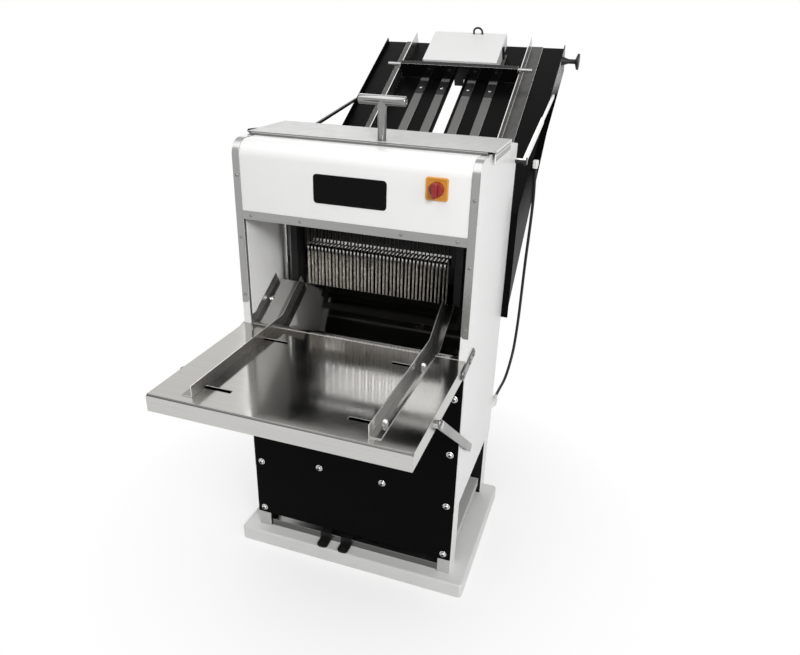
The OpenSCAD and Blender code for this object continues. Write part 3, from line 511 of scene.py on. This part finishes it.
def brushed(name, colour, rough, stretch, strength=0.05, tone=0.12, cloud=0.05, metal=1.0):
    """Steel with fine lines along one direction and a faint uneven polish."""
    steel = bpy.data.materials.new(name)
    steel.use_nodes = True
    tree = steel.node_tree
    skin = tree.nodes["Principled BSDF"]
    skin.inputs["Metallic"].default_value = metal
    lines = grain(tree, stretch, 1.0, 4.0)
    shade(tree, colour, 1 - tone, 1 + tone, lines, skin)
    blotch = grain(tree, (1, 1, 1), 6.0)
    spread(tree, blotch, rough - cloud, rough + cloud, skin, "Roughness")
    relief(tree, lines, 0.0002, strength, skin)
    return steel


lines_x = (6, 420, 420)
no_lines = (60, 60, 60)
satin_steel = brushed("satin_steel", (0.34, 0.34, 0.335), 0.34, lines_x)
bar_steel = brushed("bar_steel", (0.21, 0.21, 0.205), 0.3, lines_x, strength=0.08, tone=0.3)
bolt_dark = brushed("bolt_dark", (0.12, 0.12, 0.118), 0.3, no_lines, strength=0.04)
dress("front_cross_bar", "front_bar", bar_steel, "satin_steel", 0.0015)
clip_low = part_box("hold_down_clips")[0]
foot_long = 0.033
foot_thick = 0.0055
foot_round = 0.012
near = 0.0005


def round_feet(clips):
    """Rounds the front corners of the clips' feet."""
    pick_edges(clips, lambda a, b: max(a.y, b.y) < clip_low.y + near and abs(a.z - b.z) > 0.003)
    bpy.ops.mesh.bevel(offset=foot_round, segments=5)
    bpy.ops.object.mode_set(mode="OBJECT")


clips = dress("hold_down_clips", "bar_clips", (black_plastic, bolt_dark), "black_plastic", 0.001,
              shaping=round_feet)
tint(clips, 1, lambda c, n: c.z > clip_low.z + foot_thick and c.y < clip_low.y + foot_long)

# White side panels, folded from sheet with a round front top corner and powder coated.
# The front panel between them is one sheet rolled over the same round, and its inner faces are painted black
# as painted shade.
white_enamel = coated("white_enamel", (0.80, 0.80, 0.795), 0.34, peel=1100.0, strength=0.07, tone=0.015)
for side in ("left", "right"):
    node = "side_panel_" + side
    dress(node, node + "_sheet", white_enamel, "white_paint", 0.0008)
front_sheet = dress("front_upper_panel", "front_sheet", (white_enamel, inner_painted_shade), "white_paint", 0.0006)
# Inner faces of the front sheet: painted black as painted shade.
tint(front_sheet, 1, lambda c, n: n.z - n.y < -0.2)

# Black lower panel on the front legs, with ten button-head bolts, and the plain sheet at the rear.
# Both sheets are satin black. The bolts are plated and have a flange under a domed head.
black_enamel = coated("black_enamel", (0.0015, 0.0015, 0.0015), 0.45, peel=800.0, strength=0.08, gloss=0.03)
bright_metal = brushed("bright_metal", (0.62, 0.62, 0.61), 0.22, no_lines, strength=0.04)
dress("front_lower_panel", "lower_sheet", black_enamel, "black_paint", 0.0006)
dress("rear_panel", "rear_sheet", black_enamel, "black_paint", 0.0006)


def islands(node):
    """Middle of each separate solid of a CAD piece, read from a copy taken apart."""
    edit(merged_copy(node))
    bpy.ops.mesh.select_all(action="SELECT")
    bpy.ops.mesh.separate(type="LOOSE")
    bpy.ops.object.mode_set(mode="OBJECT")
    parts = list(bpy.context.selected_objects)
    middles = [sum((Vector(corner) for corner in part.bound_box), Vector()) / 8 for part in parts]
    for part in parts:
        bpy.data.objects.remove(part)
    return middles


def scattered(pattern, places, axis=(0, 0, 1), turn=0.6):
    """Copies of one small part at several places, each turned a little further, joined as one."""
    aim = Vector(axis).to_track_quat("Z", "Y").to_matrix().to_4x4()
    copies = []
    for count, spot in enumerate(places):
        only(pattern)
        bpy.ops.object.duplicate()
        copy = bpy.context.object
        copy.data.transform(Matrix.Translation(spot) @ aim @ Matrix.Rotation(count * turn, 4, "Z"))
        copies.append(copy)
    bpy.data.objects.remove(pattern)
    return joined(copies)


flange_round = 0.0105
socket_round = 0.0044
button_outline = [(flange_round, 0), (flange_round, 0.0010), (0.0100, 0.0015), (0.0080, 0.0017),
                  (0.0079, 0.0035), (0.0068, 0.0056), (0.0054, 0.0067), (socket_round, 0.0070),
                  (0.0040, 0.0038)]
button = turned(button_outline, 24)
to_front = (0, -1, 0)
panel_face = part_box("lower_panel_bolts")[1].y
bolt_places = [Vector((c.x, panel_face, c.z)) for c in islands("lower_panel_bolts")]
bolts = settle(scattered(button, bolt_places, to_front), "button_bolts", (bright_metal, bolt_dark), "body",
               ["lower_panel_bolts"])


def in_socket(c, n):
    """True for a face inside the socket of one of the bolts."""
    reach = min(math.hypot(c.x - spot.x, c.z - spot.z) for spot in bolt_places)
    return reach < socket_round and c.y < panel_face - 0.001


# The bolts' sockets are painted dark as painted shade.
tint(bolts, 1, in_socket)

# Grey lid on two bright strips, with a folded skirt down each side.
# Each skirt has two plain steel panels inside a white border.
lid_enamel = coated("lid_enamel", (0.41, 0.41, 0.405), 0.4, strength=0.08, tone=0.02)
skirt_steel = brushed("skirt_steel", (0.34, 0.34, 0.335), 0.4, (420, 6, 420))
strip_steel = brushed("strip_steel", (0.20, 0.20, 0.195), 0.3, lines_x)
lid = soften("top_lid", 0.0008)
lid_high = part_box("top_lid")[1]
skirt_border = 0.004
skirt_recess = 0.0006
skirt_sheet = 0.0015
rib_low, rib_high = lid_high.z - 0.0135, lid_high.z - 0.0110
hair = 0.00005
square_on = 0.999
pick_faces(lid, lambda c, n: abs(n.x) > square_on and abs(c.x) > lid_high.x - hair)
bpy.ops.mesh.inset(thickness=skirt_border, depth=0)
bpy.ops.mesh.inset(thickness=skirt_recess, depth=-skirt_recess)


def in_recess(c, n):
    """True for a face on the floor of a skirt's recess."""
    return abs(n.x) > square_on and abs(abs(c.x) - lid_high.x + skirt_recess) < hair


for rib_level in (rib_low, rib_high):
    bpy.ops.mesh.bisect(plane_co=(0, 0, rib_level), plane_no=(0, 0, 1))
    pick_faces(lid, in_recess)
smooth(lid)
level(lid)
settle(lid, "lid_sheet", (lid_enamel, skirt_steel, inner_painted_shade, leg_white), "body", ["top_lid"])
tint(lid, 3, lambda c, n: abs(c.x) > lid_high.x - skirt_sheet and n.z < 0.5)
# The lid's underside is painted black as painted shade.
tint(lid, 2, lambda c, n: n.z < -0.5)
tint(lid, 1, lambda c, n: in_recess(c, n) and not rib_low < c.z < rib_high)
dress("lid_channel", "lid_strips", strip_steel, "satin_steel", 0.0008)

# Bright trims up the front edges and over the mouth, fixed with small slotted screws.
# They are bent from thin strip and brushed along their length.
upright_steel = brushed("upright_steel", (0.34, 0.34, 0.335), 0.25, (420, 420, 6))
screw_steel = brushed("screw_steel", (0.24, 0.24, 0.235), 0.28, no_lines, strength=0.04)
trim_round = 0.010


def round_foot(trim):
    """Rounds the inner corner at a trim's lower end."""
    foot = min(v.co.z for v in trim.data.vertices)
    inside = min(abs(v.co.x) for v in trim.data.vertices)
    pick_edges(trim, lambda a, b: max(a.z, b.z) < foot + near and max(abs(a.x), abs(b.x)) < inside + near)
    bpy.ops.mesh.bevel(offset=trim_round, segments=6)
    bpy.ops.object.mode_set(mode="OBJECT")


for side in ("left", "right"):
    node = "edge_trim_" + side
    dress(node, node + "_strip", upright_steel, "satin_steel", 0.0004, shaping=round_foot)
dress("opening_trim", "mouth_strip", satin_steel, "satin_steel", 0.0004)


def slotted(piece, wide, deep):
    """Cuts a screwdriver slot across a screw's top, along X, by pushing the middle of the face in."""
    top = max(v.co.z for v in piece.data.vertices)
    for shift in (-wide / 2, wide / 2):
        edit(piece, "FACE")
        bpy.ops.mesh.select_all(action="SELECT")
        bpy.ops.mesh.bisect(plane_co=(0, shift, 0), plane_no=(0, 1, 0))
    pick_faces(piece, lambda c, n: n.z > 0.95 and c.z > top - 0.0001 and abs(c.y) < wide / 2)
    bpy.ops.mesh.extrude_region_move(TRANSFORM_OT_translate={"value": (0, 0, -deep)})
    smooth(piece)


screw_outline = [(0.0045, 0), (0.0045, 0.0010), (0.0041, 0.0017), (0.0031, 0.0022), (0.0016, 0.0025)]
screw = turned(screw_outline, 20)
slotted(screw, wide=0.0011, deep=0.0008)
trim_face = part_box("trim_screws")[1].y
screw_places = [Vector((c.x, trim_face, c.z)) for c in islands("trim_screws")]
settle(scattered(screw, screw_places, to_front), "small_screws", screw_steel, "body", ["trim_screws"])

# Blank badge, a black enamelled plate on the front panel.
# It has round corners and a field set back inside a narrow border.
badge_black = coated("badge_black", (0.003, 0.003, 0.003), 0.3, strength=0.05, gloss=0.06)


def slab(node, corner, edge, border, step, recess):
    """Plate in a CAD piece's place: round corners, eased front rim and a field set back in a border."""
    low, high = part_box(node)
    plate = block((low + high) / 2, high - low)
    pick_edges(plate, lambda a, b: abs(a.y - b.y) > 0.9 * (high.y - low.y))
    bpy.ops.mesh.bevel(offset=corner, segments=6)
    bpy.ops.object.mode_set(mode="OBJECT")
    pick_edges(plate, lambda a, b: max(a.y, b.y) < low.y + hair)
    bpy.ops.mesh.bevel(offset=edge, segments=2)
    smooth(plate)
    pick_faces(plate, lambda c, n: n.y < -square_on and c.y < low.y + hair)
    bpy.ops.mesh.inset(thickness=border, depth=0)
    bpy.ops.mesh.inset(thickness=step, depth=-recess)
    smooth(plate)
    return plate


badge = slab("badge_plate", corner=0.009, edge=0.0003, border=0.003, step=0.0004, recess=0.0004)
settle(badge, "blank_badge", badge_black, "body", ["badge_plate"])

# Main switch: a yellow plate with a red turning grip, both moulded in plastic.
# The black body with the contacts is fixed behind the front panel.
yellow_plastic = coated("yellow_plastic", (0.62, 0.27, 0.03), 0.35)
red_plastic = coated("red_plastic", (0.25, 0.007, 0.007), 0.16, peel=500.0, strength=0.05)
switch_face = slab("switch_plate", corner=0.005, edge=0.0012, border=0.0035, step=0.0008, recess=0.0022)
settle(switch_face, "switch_face", yellow_plastic, "body", ["switch_plate"])
knob_low, knob_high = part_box("switch_knob")
knob_mid = (knob_low + knob_high) / 2
flange_outline = [(0.0180, 0), (0.0180, 0.0055), (0.0172, 0.0072), (0.0160, 0.0080)]
flange = turned(flange_outline, 40, (knob_mid.x, knob_high.y, knob_mid.z), to_front)
grip_size = (0.012, 0.017, 0.036)
grip_set = 0.0155
grip_round = 0.0055
grip = block((knob_mid.x, knob_high.y - grip_set, knob_mid.z), grip_size)
pick_edges(grip, lambda a, b: abs(a.y - b.y) > grip_size[1] / 2)
bpy.ops.mesh.bevel(offset=grip_round, segments=5)
bpy.ops.object.mode_set(mode="OBJECT")
pick_edges(grip, lambda a, b: max(a.y, b.y) < knob_low.y + 0.0002)
bpy.ops.mesh.bevel(offset=0.002, segments=3)
pick_faces(grip, lambda c, n: n.y < -square_on and c.y < knob_low.y + hair)
bpy.ops.mesh.inset(thickness=0.0014, depth=-0.0006)
smooth(grip)
settle(joined([flange, grip]), "switch_grip", red_plastic, "switch", ["switch_knob"])
dress("switch_body", "switch_block", black_plastic, "black_plastic", 0.001)

# Two blade frames with their guide rods, and the drive: crank, pulleys, belt and motor.
# The frames are welded from bar and run against each other, and the drive sits low in the cabinet.
dark_iron = coated("dark_iron", (0.012, 0.012, 0.012), 0.5, peel=300.0, strength=0.3, gloss=0.2)
cast_iron = coated("cast_iron", (0.05, 0.05, 0.05), 0.55, peel=300.0, strength=0.4)
motor_paint = coated("motor_paint", (0.16, 0.17, 0.18), 0.45, peel=300.0, strength=0.3)
for node, coat, body, slot in (
    ("blade_frame_front", dark_iron, "front_blades", "grey_paint"),
    ("blade_frame_rear", dark_iron, "rear_blades", "grey_paint"),
    ("guide_rods", satin_steel, "body", "bright_metal"),
    ("crankshaft", bright_metal, "crank", "bright_metal"),
    ("crank_pulley", cast_iron, "crank", "iron"),
    ("crank_bearings", cast_iron, "body", "iron"),
    ("motor", motor_paint, "body", "motor_housing"),
    ("motor_pulley", cast_iron, "motor_rotor", "iron"),
    ("drive_belt", black_rubber, "body", "black_rubber"),
):
    dress(node, node + "_made", coat, slot, 0, body)

# Blades: thin strips of ground steel with a waved cutting edge to the rear.
# Both frames hold them upright, one set between the other. Above the comb they are painted dark as painted
# shade.
blade_thick = 0.001
teeth = 46
tooth_deep = 0.0022


def by_height(coat, colour, low, high, stops, marks=0):
    """Lets a material's tone change with height. Stops give a share of the way up and a tone,
    and marks, the scale of a noise, make the tone uneven."""
    tree = coat.node_tree
    skin = tree.nodes["Principled BSDF"]
    place = tree.nodes.new("ShaderNodeTexCoord")
    apart = tree.nodes.new("ShaderNodeSeparateXYZ")
    climb = tree.nodes.new("ShaderNodeMapRange")
    climb.inputs["From Min"].default_value = low
    climb.inputs["From Max"].default_value = high
    tones = tree.nodes.new("ShaderNodeValToRGB")
    while len(tones.color_ramp.elements) < len(stops):
        tones.color_ramp.elements.new(0.5)
    for stop, (share, tone) in zip(tones.color_ramp.elements, stops):
        stop.position = share
        stop.color = (*[c * tone for c in colour], 1)
    link(tree, place, "Object", apart, "Vector")
    link(tree, apart, "Z", climb, "Value")
    link(tree, climb, "Result", tones, "Fac")
    if not marks:
        link(tree, tones, "Color", skin, "Base Color")
        return coat
    worn = tree.nodes.new("ShaderNodeMix")
    worn.data_type = "RGBA"
    worn.blend_type = "MULTIPLY"
    worn.inputs[0].default_value = 1.0
    link(tree, tones, "Color", worn, 6)
    spread(tree, grain(tree, (1, 1, 0.35), marks, 4.0), 0.15, 1.15, worn, 7)
    link(tree, worn, 2, skin, "Base Color")
    return coat


blade_colour = (0.95, 0.90, 0.80)
# The blades' tone falls with height: painted shade above the comb, with noise for uneven tone.
blade_shade_low, blade_shade_high = 0.87, 1.01
blade_steel = by_height(
    brushed("blade_steel", blade_colour, 0.5, (300, 300, 20), tone=0.15, metal=0.06),
    blade_colour, blade_shade_low, blade_shade_high, ((0, 1), (0.5, 1), (0.7, 0.08), (1, 0.05)), marks=260.0)
for node, body in (("blades_front", "front_blades"), ("blades_rear", "rear_blades")):
    low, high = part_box(node)
    blade_long = high.z - low.z
    centres = islands(node)
    blade = block((0, 0, 0), (blade_thick, high.y - low.y, blade_long))
    pick_edges(blade, lambda a, b: abs(a.z - b.z) > blade_long / 2)
    bpy.ops.mesh.subdivide(number_cuts=2 * teeth - 1)
    edit(blade, "VERT")
    bpy.ops.mesh.select_all(action="DESELECT")
    bpy.ops.object.mode_set(mode="OBJECT")
    half_tooth = blade_long / (2 * teeth)
    for v in blade.data.vertices:
        v.select = v.co.y > 0 and round((v.co.z + blade_long / 2) / half_tooth) % 2 == 1
    bpy.ops.object.mode_set(mode="EDIT")
    bpy.ops.transform.translate(value=(0, -tooth_deep, 0))
    smooth(blade)
    settle(scattered(blade, centres, turn=0), node + "_set", blade_steel, body, [node])

# Comb that keeps the loaf down: dark fingers between the blades, their top and front faces painted bright as
# painted highlight.
# A bar behind the blades joins them.
comb_black = coated("comb_black", (0.008, 0.008, 0.008), 0.4, peel=500.0, strength=0.15, gloss=0.2)
finger_painted_highlight = brushed("finger_painted_highlight", (0.60, 0.59, 0.57), 0.36, (300, 20, 20))
comb_low, comb_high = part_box("hold_down_comb")
comb_bar = 0.017
comb = dress("hold_down_comb", "comb", (comb_black, finger_painted_highlight), "satin_steel", 0, "hold_down")
# Top and front faces of the fingers: painted highlight.
tint(comb, 1, lambda c, n: (n.z > 0.9 or n.y < -0.9) and c.y < comb_high.y - comb_bar)

# T handle of polished bar, welded to its stem, above the lid.
# Below the lid the stem carries a hanger, whose arms go down to both ends of the comb.
handle_steel = brushed("handle_steel", (0.26, 0.26, 0.255), 0.12, no_lines, strength=0.02, tone=0.1,
                       cloud=0.04)
hanger_rise = 0.107
hanger_top = comb_low.z + hanger_rise
hanger = soften("t_handle", 0.0008)
edit(hanger)
bpy.ops.mesh.select_all(action="SELECT")
bpy.ops.mesh.bisect(plane_co=(0, 0, hanger_top + 0.001), plane_no=(0, 0, 1), use_fill=True, clear_outer=True)
smooth(hanger)
crown = [v.co for v in frame["nodes"]["t_handle"].data.vertices if v.co.z > lid_high.z]
handle_low = Vector(map(min, zip(*crown)))
handle_high = Vector(map(max, zip(*crown)))
handle_mid = (handle_low + handle_high) / 2
bar_round = 0.012
stem_round = 0.0115
bar_level = handle_high.z - bar_round
bar_span = handle_high.x - handle_low.x
stem_foot = hanger_top - 0.010
stem_rise = bar_level - stem_foot
stem_outline = [(0.0110, 0), (0.0110, stem_rise - 0.021), (0.0116, stem_rise - 0.0165),
                (0.0117, stem_rise - 0.013), (0.0112, stem_rise)]
stem = turned(stem_outline, 32, (handle_mid.x, handle_mid.y, stem_foot))
bar_outline = [(0.0104, 0), (0.0113, 0.0004), (bar_round, 0.0016), (bar_round, bar_span - 0.0016),
               (0.0113, bar_span - 0.0004), (0.0104, bar_span)]
bar = turned(bar_outline, 32, (handle_low.x, handle_mid.y, bar_level), (1, 0, 0))
for end, sign in ((handle_low.x, -1), (handle_high.x, 1)):
    pick_faces(bar, lambda c, n: n.x * sign > square_on and abs(c.x - end) < 0.0001)
    bpy.ops.mesh.inset(thickness=0.0016, depth=0)
    bpy.ops.mesh.inset(thickness=0.0003, depth=-0.0012)
    smooth(bar)
only(stem)
weld = stem.modifiers.new("weld", "BOOLEAN")
weld.operation = "UNION"
weld.object = bar
bpy.ops.object.modifier_apply(modifier=weld.name)
bpy.data.objects.remove(bar)


def on_seam(p):
    """True for a point where the stem's skin meets the bar's."""
    off_stem = math.hypot(p.x - handle_mid.x, p.y - handle_mid.y) - stem_round
    off_bar = math.hypot(p.y - handle_mid.y, p.z - bar_level) - bar_round
    below = bar_level - 0.0125 < p.z < bar_level - 0.0005
    return below and abs(off_stem) < 0.0006 and abs(off_bar) < 0.0002


pick_edges(stem, lambda a, b: on_seam(a) and on_seam(b))
bpy.ops.mesh.bevel(offset=0.003, segments=3)
smooth(stem, 40)
lift_handle = settle(joined([stem, hanger]), "lift_handle", (handle_steel, dark_iron), "hold_down",
                     ["t_handle"])
tint(lift_handle, 1, lambda c, n: c.z < hanger_top + 0.002)

# Slide: one polished sheet below the blades, with turned-up sides.
# Two dome-headed screws hold it down at its sides.
fine_x = (5, 300, 300)
slide_steel = brushed("slide_steel", (0.54, 0.53, 0.51), 0.05, fine_x, strength=0.006, tone=0.06, cloud=0.02)
rim_painted_highlight = brushed("rim_painted_highlight", (0.90, 0.89, 0.87), 0.3, no_lines, strength=0.02, tone=0.05, cloud=0.03)
slide = dress("outfeed_slide", "slide_sheet", (slide_steel, rim_painted_highlight), "polished_steel", 0.0005)
# The turned-up sides are painted bright as painted reflection.
tint(slide, 1, lambda c, n: abs(n.x) > 0.5)
path_foot = Vector((0, -0.184, 0.768))
path_slope = 31
path_turn = Matrix.Rotation(math.radians(path_slope), 4, "X")
path_normal = path_turn @ Vector((0, 0, 1))


def up_path(x, s, n):
    """Point on the sloping bread path: sideways, up the slope and off it."""
    return path_foot + path_turn @ Vector((x, s, n))


dome_outline = [(0.0070, 0), (0.0070, 0.0012), (0.0062, 0.0028), (0.0044, 0.0040), (0.0020, 0.0046)]
dome_up, dome_out = 0.077, 0.286
dome_places = [up_path(x, dome_up, 0) for x in (-dome_out, dome_out)]
settle(scattered(turned(dome_outline, 20), dome_places, path_normal), "slide_screws", bright_metal,
       "body", [])

# Folding table of polished sheet with folded edges, on pins at its rear end.
# Channels painted dark as painted shade lie under its four cross slots, in which the guides' studs run.
table_steel = brushed("table_steel", (0.50, 0.49, 0.465), 0.125, fine_x, strength=0.025, tone=0.08,
                      cloud=0.04)
fold_reflection_and_slot_shade = brushed("fold_reflection_and_slot_shade", (0.10, 0.098, 0.094), 0.2, fine_x, strength=0.02, tone=0.2)
edge_painted_light = brushed("edge_painted_light", (0.56, 0.555, 0.54), 0.36, fine_x, strength=0.03, tone=0.1)
lip_round = 0.007
table = soften("outfeed_table", 0)
table_low, table_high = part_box("outfeed_table")
at_front, at_top = table_low.y + 0.0001, table_high.z - 0.0001
pick_edges(table, lambda a, b: max(a.y, b.y) < at_front and a.z > at_top and abs(a.z - b.z) < 0.0001)
bpy.ops.mesh.bevel(offset=lip_round, segments=6)
bpy.ops.object.mode_set(mode="OBJECT")
ease(table, 0.0006, 2, angle=40)
smooth(table)
level(table)
settle(table, "table_sheet", (table_steel, fold_reflection_and_slot_shade, edge_painted_light), "table", ["outfeed_table"])
# The front fold is painted dark as painted reflection, the front and side faces lighter as painted light.
tint(table, 1, lambda c, n: n.y < -0.15 and n.z > 0.1)
tint(table, 2, lambda c, n: n.y < -0.9 or abs(n.x) > 0.9)
slot_middle = 0.1925
slot_lines = (-0.568, -0.293)
channel_size = (0.115, 0.028, 0.0172)
channel_drop = 0.0102
channels = []
for x, y in ((x, y) for x in (-slot_middle, slot_middle) for y in slot_lines):
    channel = block((x, y, table_high.z - channel_drop), channel_size)
    pick_faces(channel, lambda c, n: n.z > 0.9)
    bpy.ops.mesh.delete(type="FACE")
    only(channel)
    wall = channel.modifiers.new("wall", "SOLIDIFY")
    wall.thickness = 0.001
    bpy.ops.object.modifier_apply(modifier=wall.name)
    channels.append(channel)
settle(joined(channels), "slot_channels", fold_reflection_and_slot_shade, "table", [])

# Two guides bent from strip, which run up the slide and are held by dome nuts.
# The stays that carry the table, their pegs and the hinge plates are plain bar and plate.
fine_y = (300, 5, 300)
guide_steel = brushed("guide_steel", (0.60, 0.59, 0.57), 0.27, fine_y, strength=0.02, tone=0.08, cloud=0.04)
flange_painted_reflection = brushed("flange_painted_reflection", (0.30, 0.295, 0.285), 0.14, fine_y, strength=0.02, tone=0.08,
                       cloud=0.04)
stay_steel = brushed("stay_steel", (0.25, 0.25, 0.245), 0.3, no_lines, strength=0.04)
hinge_steel = brushed("hinge_steel", (0.20, 0.20, 0.195), 0.3, no_lines, strength=0.04)


def rimmed(piece):
    """Gives the narrow cut edges of a sheet piece its second material, a brighter one as painted highlight.
    """
    thin = 0.004
    corners = piece.data.vertices
    for side in piece.data.polygons:
        ring = [corners[i].co for i in side.vertices]
        longest = max((a - b).length for a, b in zip(ring, ring[1:] + ring[:1]))
        if side.area < thin * longest:
            side.material_index = 1


for side in ("left", "right"):
    node = "table_guide_" + side
    guide = dress(node, node + "_strip", (guide_steel, rim_painted_highlight, flange_painted_reflection), "polished_steel", 0.0005,
                  "guide_" + side)
    # The guide's flange faces are painted darker as painted reflection, its cut edges bright as painted
    # highlight.
    tint(guide, 2, lambda c, n: max(n.z, n.dot(path_normal)) > 0.95)
    rimmed(guide)
    node = "guide_nuts_" + side
    dress(node, node + "_set", bright_metal, "bright_metal", 0.0004, "guide_" + side)
    node = "table_stay_" + side
    dress(node, node + "_bar", stay_steel, "satin_steel", 0.0008, "stay_" + side)
hinges = dress("table_brackets", "hinge_plates", (hinge_steel, bolt_dark), "satin_steel", 0.0008)
head_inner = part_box("table_brackets")[1].x - 0.0045
tint(hinges, 1, lambda c, n: abs(n.x) < 0.5 and abs(c.x) > head_inner)
dress("stay_studs", "stay_pegs", satin_steel, "satin_steel", 0.0008)

# Chute behind the cabinet: a black floor with a centre slot and a folded plate down each side.
# The side plates' outer faces are painted lighter at their ends as painted reflection. Two narrow folds close
# the gap to the cabinet.
chute_black = coated("chute_black", (0.002, 0.002, 0.002), 0.3, peel=700.0, strength=0.05, gloss=0.05)
dress("chute_tray", "chute_floor", chute_black, "black_paint", 0.0006)
cheek_low, cheek_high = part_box("chute_sides")
# Outer faces of the side plates: painted reflection, light at both ends and black between.
cheek_painted_reflection = by_height(
    coated("cheek_painted_reflection", (0.5, 0.5, 0.5), 0.35, peel=700.0, strength=0.05, gloss=0.0),
    (1, 1, 1), cheek_low.z, cheek_high.z,
    ((0, 0.15), (0.36, 0.11), (0.56, 0.004), (0.79, 0.004), (0.85, 0.48), (1, 0.6)))
cheeks = dress("chute_sides", "chute_cheeks", (chute_black, cheek_painted_reflection), "black_paint", 0.0006)
cheek_skin = 0.0008
tint(cheeks, 1, lambda c, n: abs(c.x) > cheek_high.x - cheek_skin and abs(n.x) > 0.95)
fold_out = 0.3295
fold_level = 0.910
fold_size = (0.019, 0.002, 0.260)
fold_round = 0.014
folds = []
for x in (-fold_out, fold_out):
    fold = block((x, cheek_low.y + fold_size[1] / 2, fold_level), fold_size)
    pick_edges(fold, lambda a, b: max(a.z, b.z) < fold_level and abs(a.x) > fold_out
               and abs(a.y - b.y) > fold_size[1] / 2)
    bpy.ops.mesh.bevel(offset=fold_round, segments=4)
    smooth(fold)
    folds.append(fold)
settle(joined(folds), "cheek_folds", chute_black, "body", [])

# Four grey plastic runners on the chute's floor, and two steel angles that guide the loaf.
# Each runner has a thin bright rim and ends in a black pad with a slotted screw.
runner_grey = coated("runner_grey", (0.12, 0.118, 0.113), 0.5, peel=400.0, strength=0.2)
dress("chute_runners", "runner_strips", runner_grey, "grey_plastic", 0.0008)
coarse_y = (60, 9, 60)
angle_steel = brushed("angle_steel", (0.55, 0.545, 0.53), 0.28, coarse_y, strength=0.03, tone=0.2, cloud=0.04)
angle_painted_shade = brushed("angle_painted_shade", (0.11, 0.109, 0.106), 0.3, coarse_y, tone=0.3)
angles = dress("infeed_guides", "loaf_angles", (angle_steel, rim_painted_highlight, angle_painted_shade), "satin_steel", 0.0006)
# The angles' flange faces are painted dark as painted shade, their cut edges bright as painted highlight.
tint(angles, 2, lambda c, n: n.dot(path_normal) > 0.9)
rimmed(angles)
runner_places = (-0.126, -0.048, 0.048, 0.126)


def on_runners(middle, size, edge):
    """One eased strip for each runner, its place given from the runner's middle on the bread path."""
    strips = []
    for x in runner_places:
        strip = eased_block((x + middle[0], middle[1], middle[2]), size, edge)
        strip.data.transform(Matrix.Translation(path_foot) @ path_turn)
        strips.append(strip)
    return joined(strips)


pads = on_runners(middle=(0, 1.0835, 0.00475), size=(0.0296, 0.073, 0.0015), edge=0.0005)
rims = on_runners(middle=(0.0157, 0.823, 0.0024), size=(0.0014, 0.590, 0.0048), edge=0.0003)
settle(rims, "runner_rims", satin_steel, "body", [])
settle(pads, "runner_end_pads", black_plastic, "body", [])
pad_screw = turned([(0.0060, 0), (0.0060, 0.0004), (0.0048, 0.0008)], 20)
slotted(pad_screw, wide=0.0012, deep=0.0003)
pad_middle, pad_top = 1.081, 0.0055
pad_screw_places = [up_path(x, pad_middle, pad_top) for x in runner_places]
settle(scattered(pad_screw, pad_screw_places, path_normal), "pad_screws", bright_metal, "body", [])

# Bent steel strut on the right and thin black stay on the left, which hold the chute to the cabinet.
# The knob on the chute's right edge is turned from black plastic.
strut_painted_shade = brushed("strut_painted_shade", (0.05, 0.05, 0.049), 0.3, no_lines, strength=0.04)
strut = dress("chute_strut", "right_strut", (strut_painted_shade, rim_painted_highlight), "satin_steel", 0.0008)
strut_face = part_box("chute_strut")[1].x - 0.003
# The strut's top and right faces are painted bright as painted highlight, the rest dark as painted shade.
tint(strut, 1, lambda c, n: (n.x > 0.5 or n.z > 0.6) and c.x < strut_face)
dress("chute_stay", "left_stay", chute_black, "black_paint", 0.0008)
dress("chute_knob", "side_knob", black_plastic, "black_plastic", 0.001, "knob")

# Pusher that follows the loaf down the chute: a black plate with two cheeks, which carry a white weight box.
# A cross rod reaches over the angles. The bow handle and the latch bar are fixed to the weight.
pusher_black = coated("pusher_black", (0.003, 0.003, 0.003), 0.12, peel=700.0, strength=0.02, gloss=0.3)
# The plate's cut edges are painted bright as painted highlight.
rimmed(dress("pusher_plate", "push_plate", (pusher_black, angle_steel), "black_paint", 0.0008, "pusher"))
dress("weight_box", "weight", white_enamel, "white_paint", 0.002, "pusher", segments=3)
bow_low, bow_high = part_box("weight_handle")
bow_mid = (bow_low + bow_high) / 2
bow_bar = 0.0035
bow_half = (bow_high.x - bow_low.x) / 2 - bow_bar
bow_rise = 0.0135
bow_steps = 8
bow_line = [(-bow_half, -bow_rise)]
for step in range(bow_steps + 1):
    turn = math.pi * (1 - step / bow_steps)
    bow_line.append((bow_half * math.cos(turn), bow_rise - bow_bar + bow_half * (math.sin(turn) - 1)))
bow_line.append((bow_half, -bow_rise))
bow_points = [bow_mid + path_turn @ Vector((x, 0, n)) for x, n in bow_line]
only(tube("bow", bow_points, bow_bar, pieces=4, caps=True))
bpy.ops.object.convert(target="MESH")
bow = bpy.context.object
smooth(bow)
settle(bow, "bow", black_plastic, "pusher", ["weight_handle"])
dress("pusher_latch", "latch_bar", black_plastic, "black_plastic", 0.001, "pusher")
dress("pusher_rod", "cross_rod", satin_steel, "satin_steel", 0.001, "pusher")
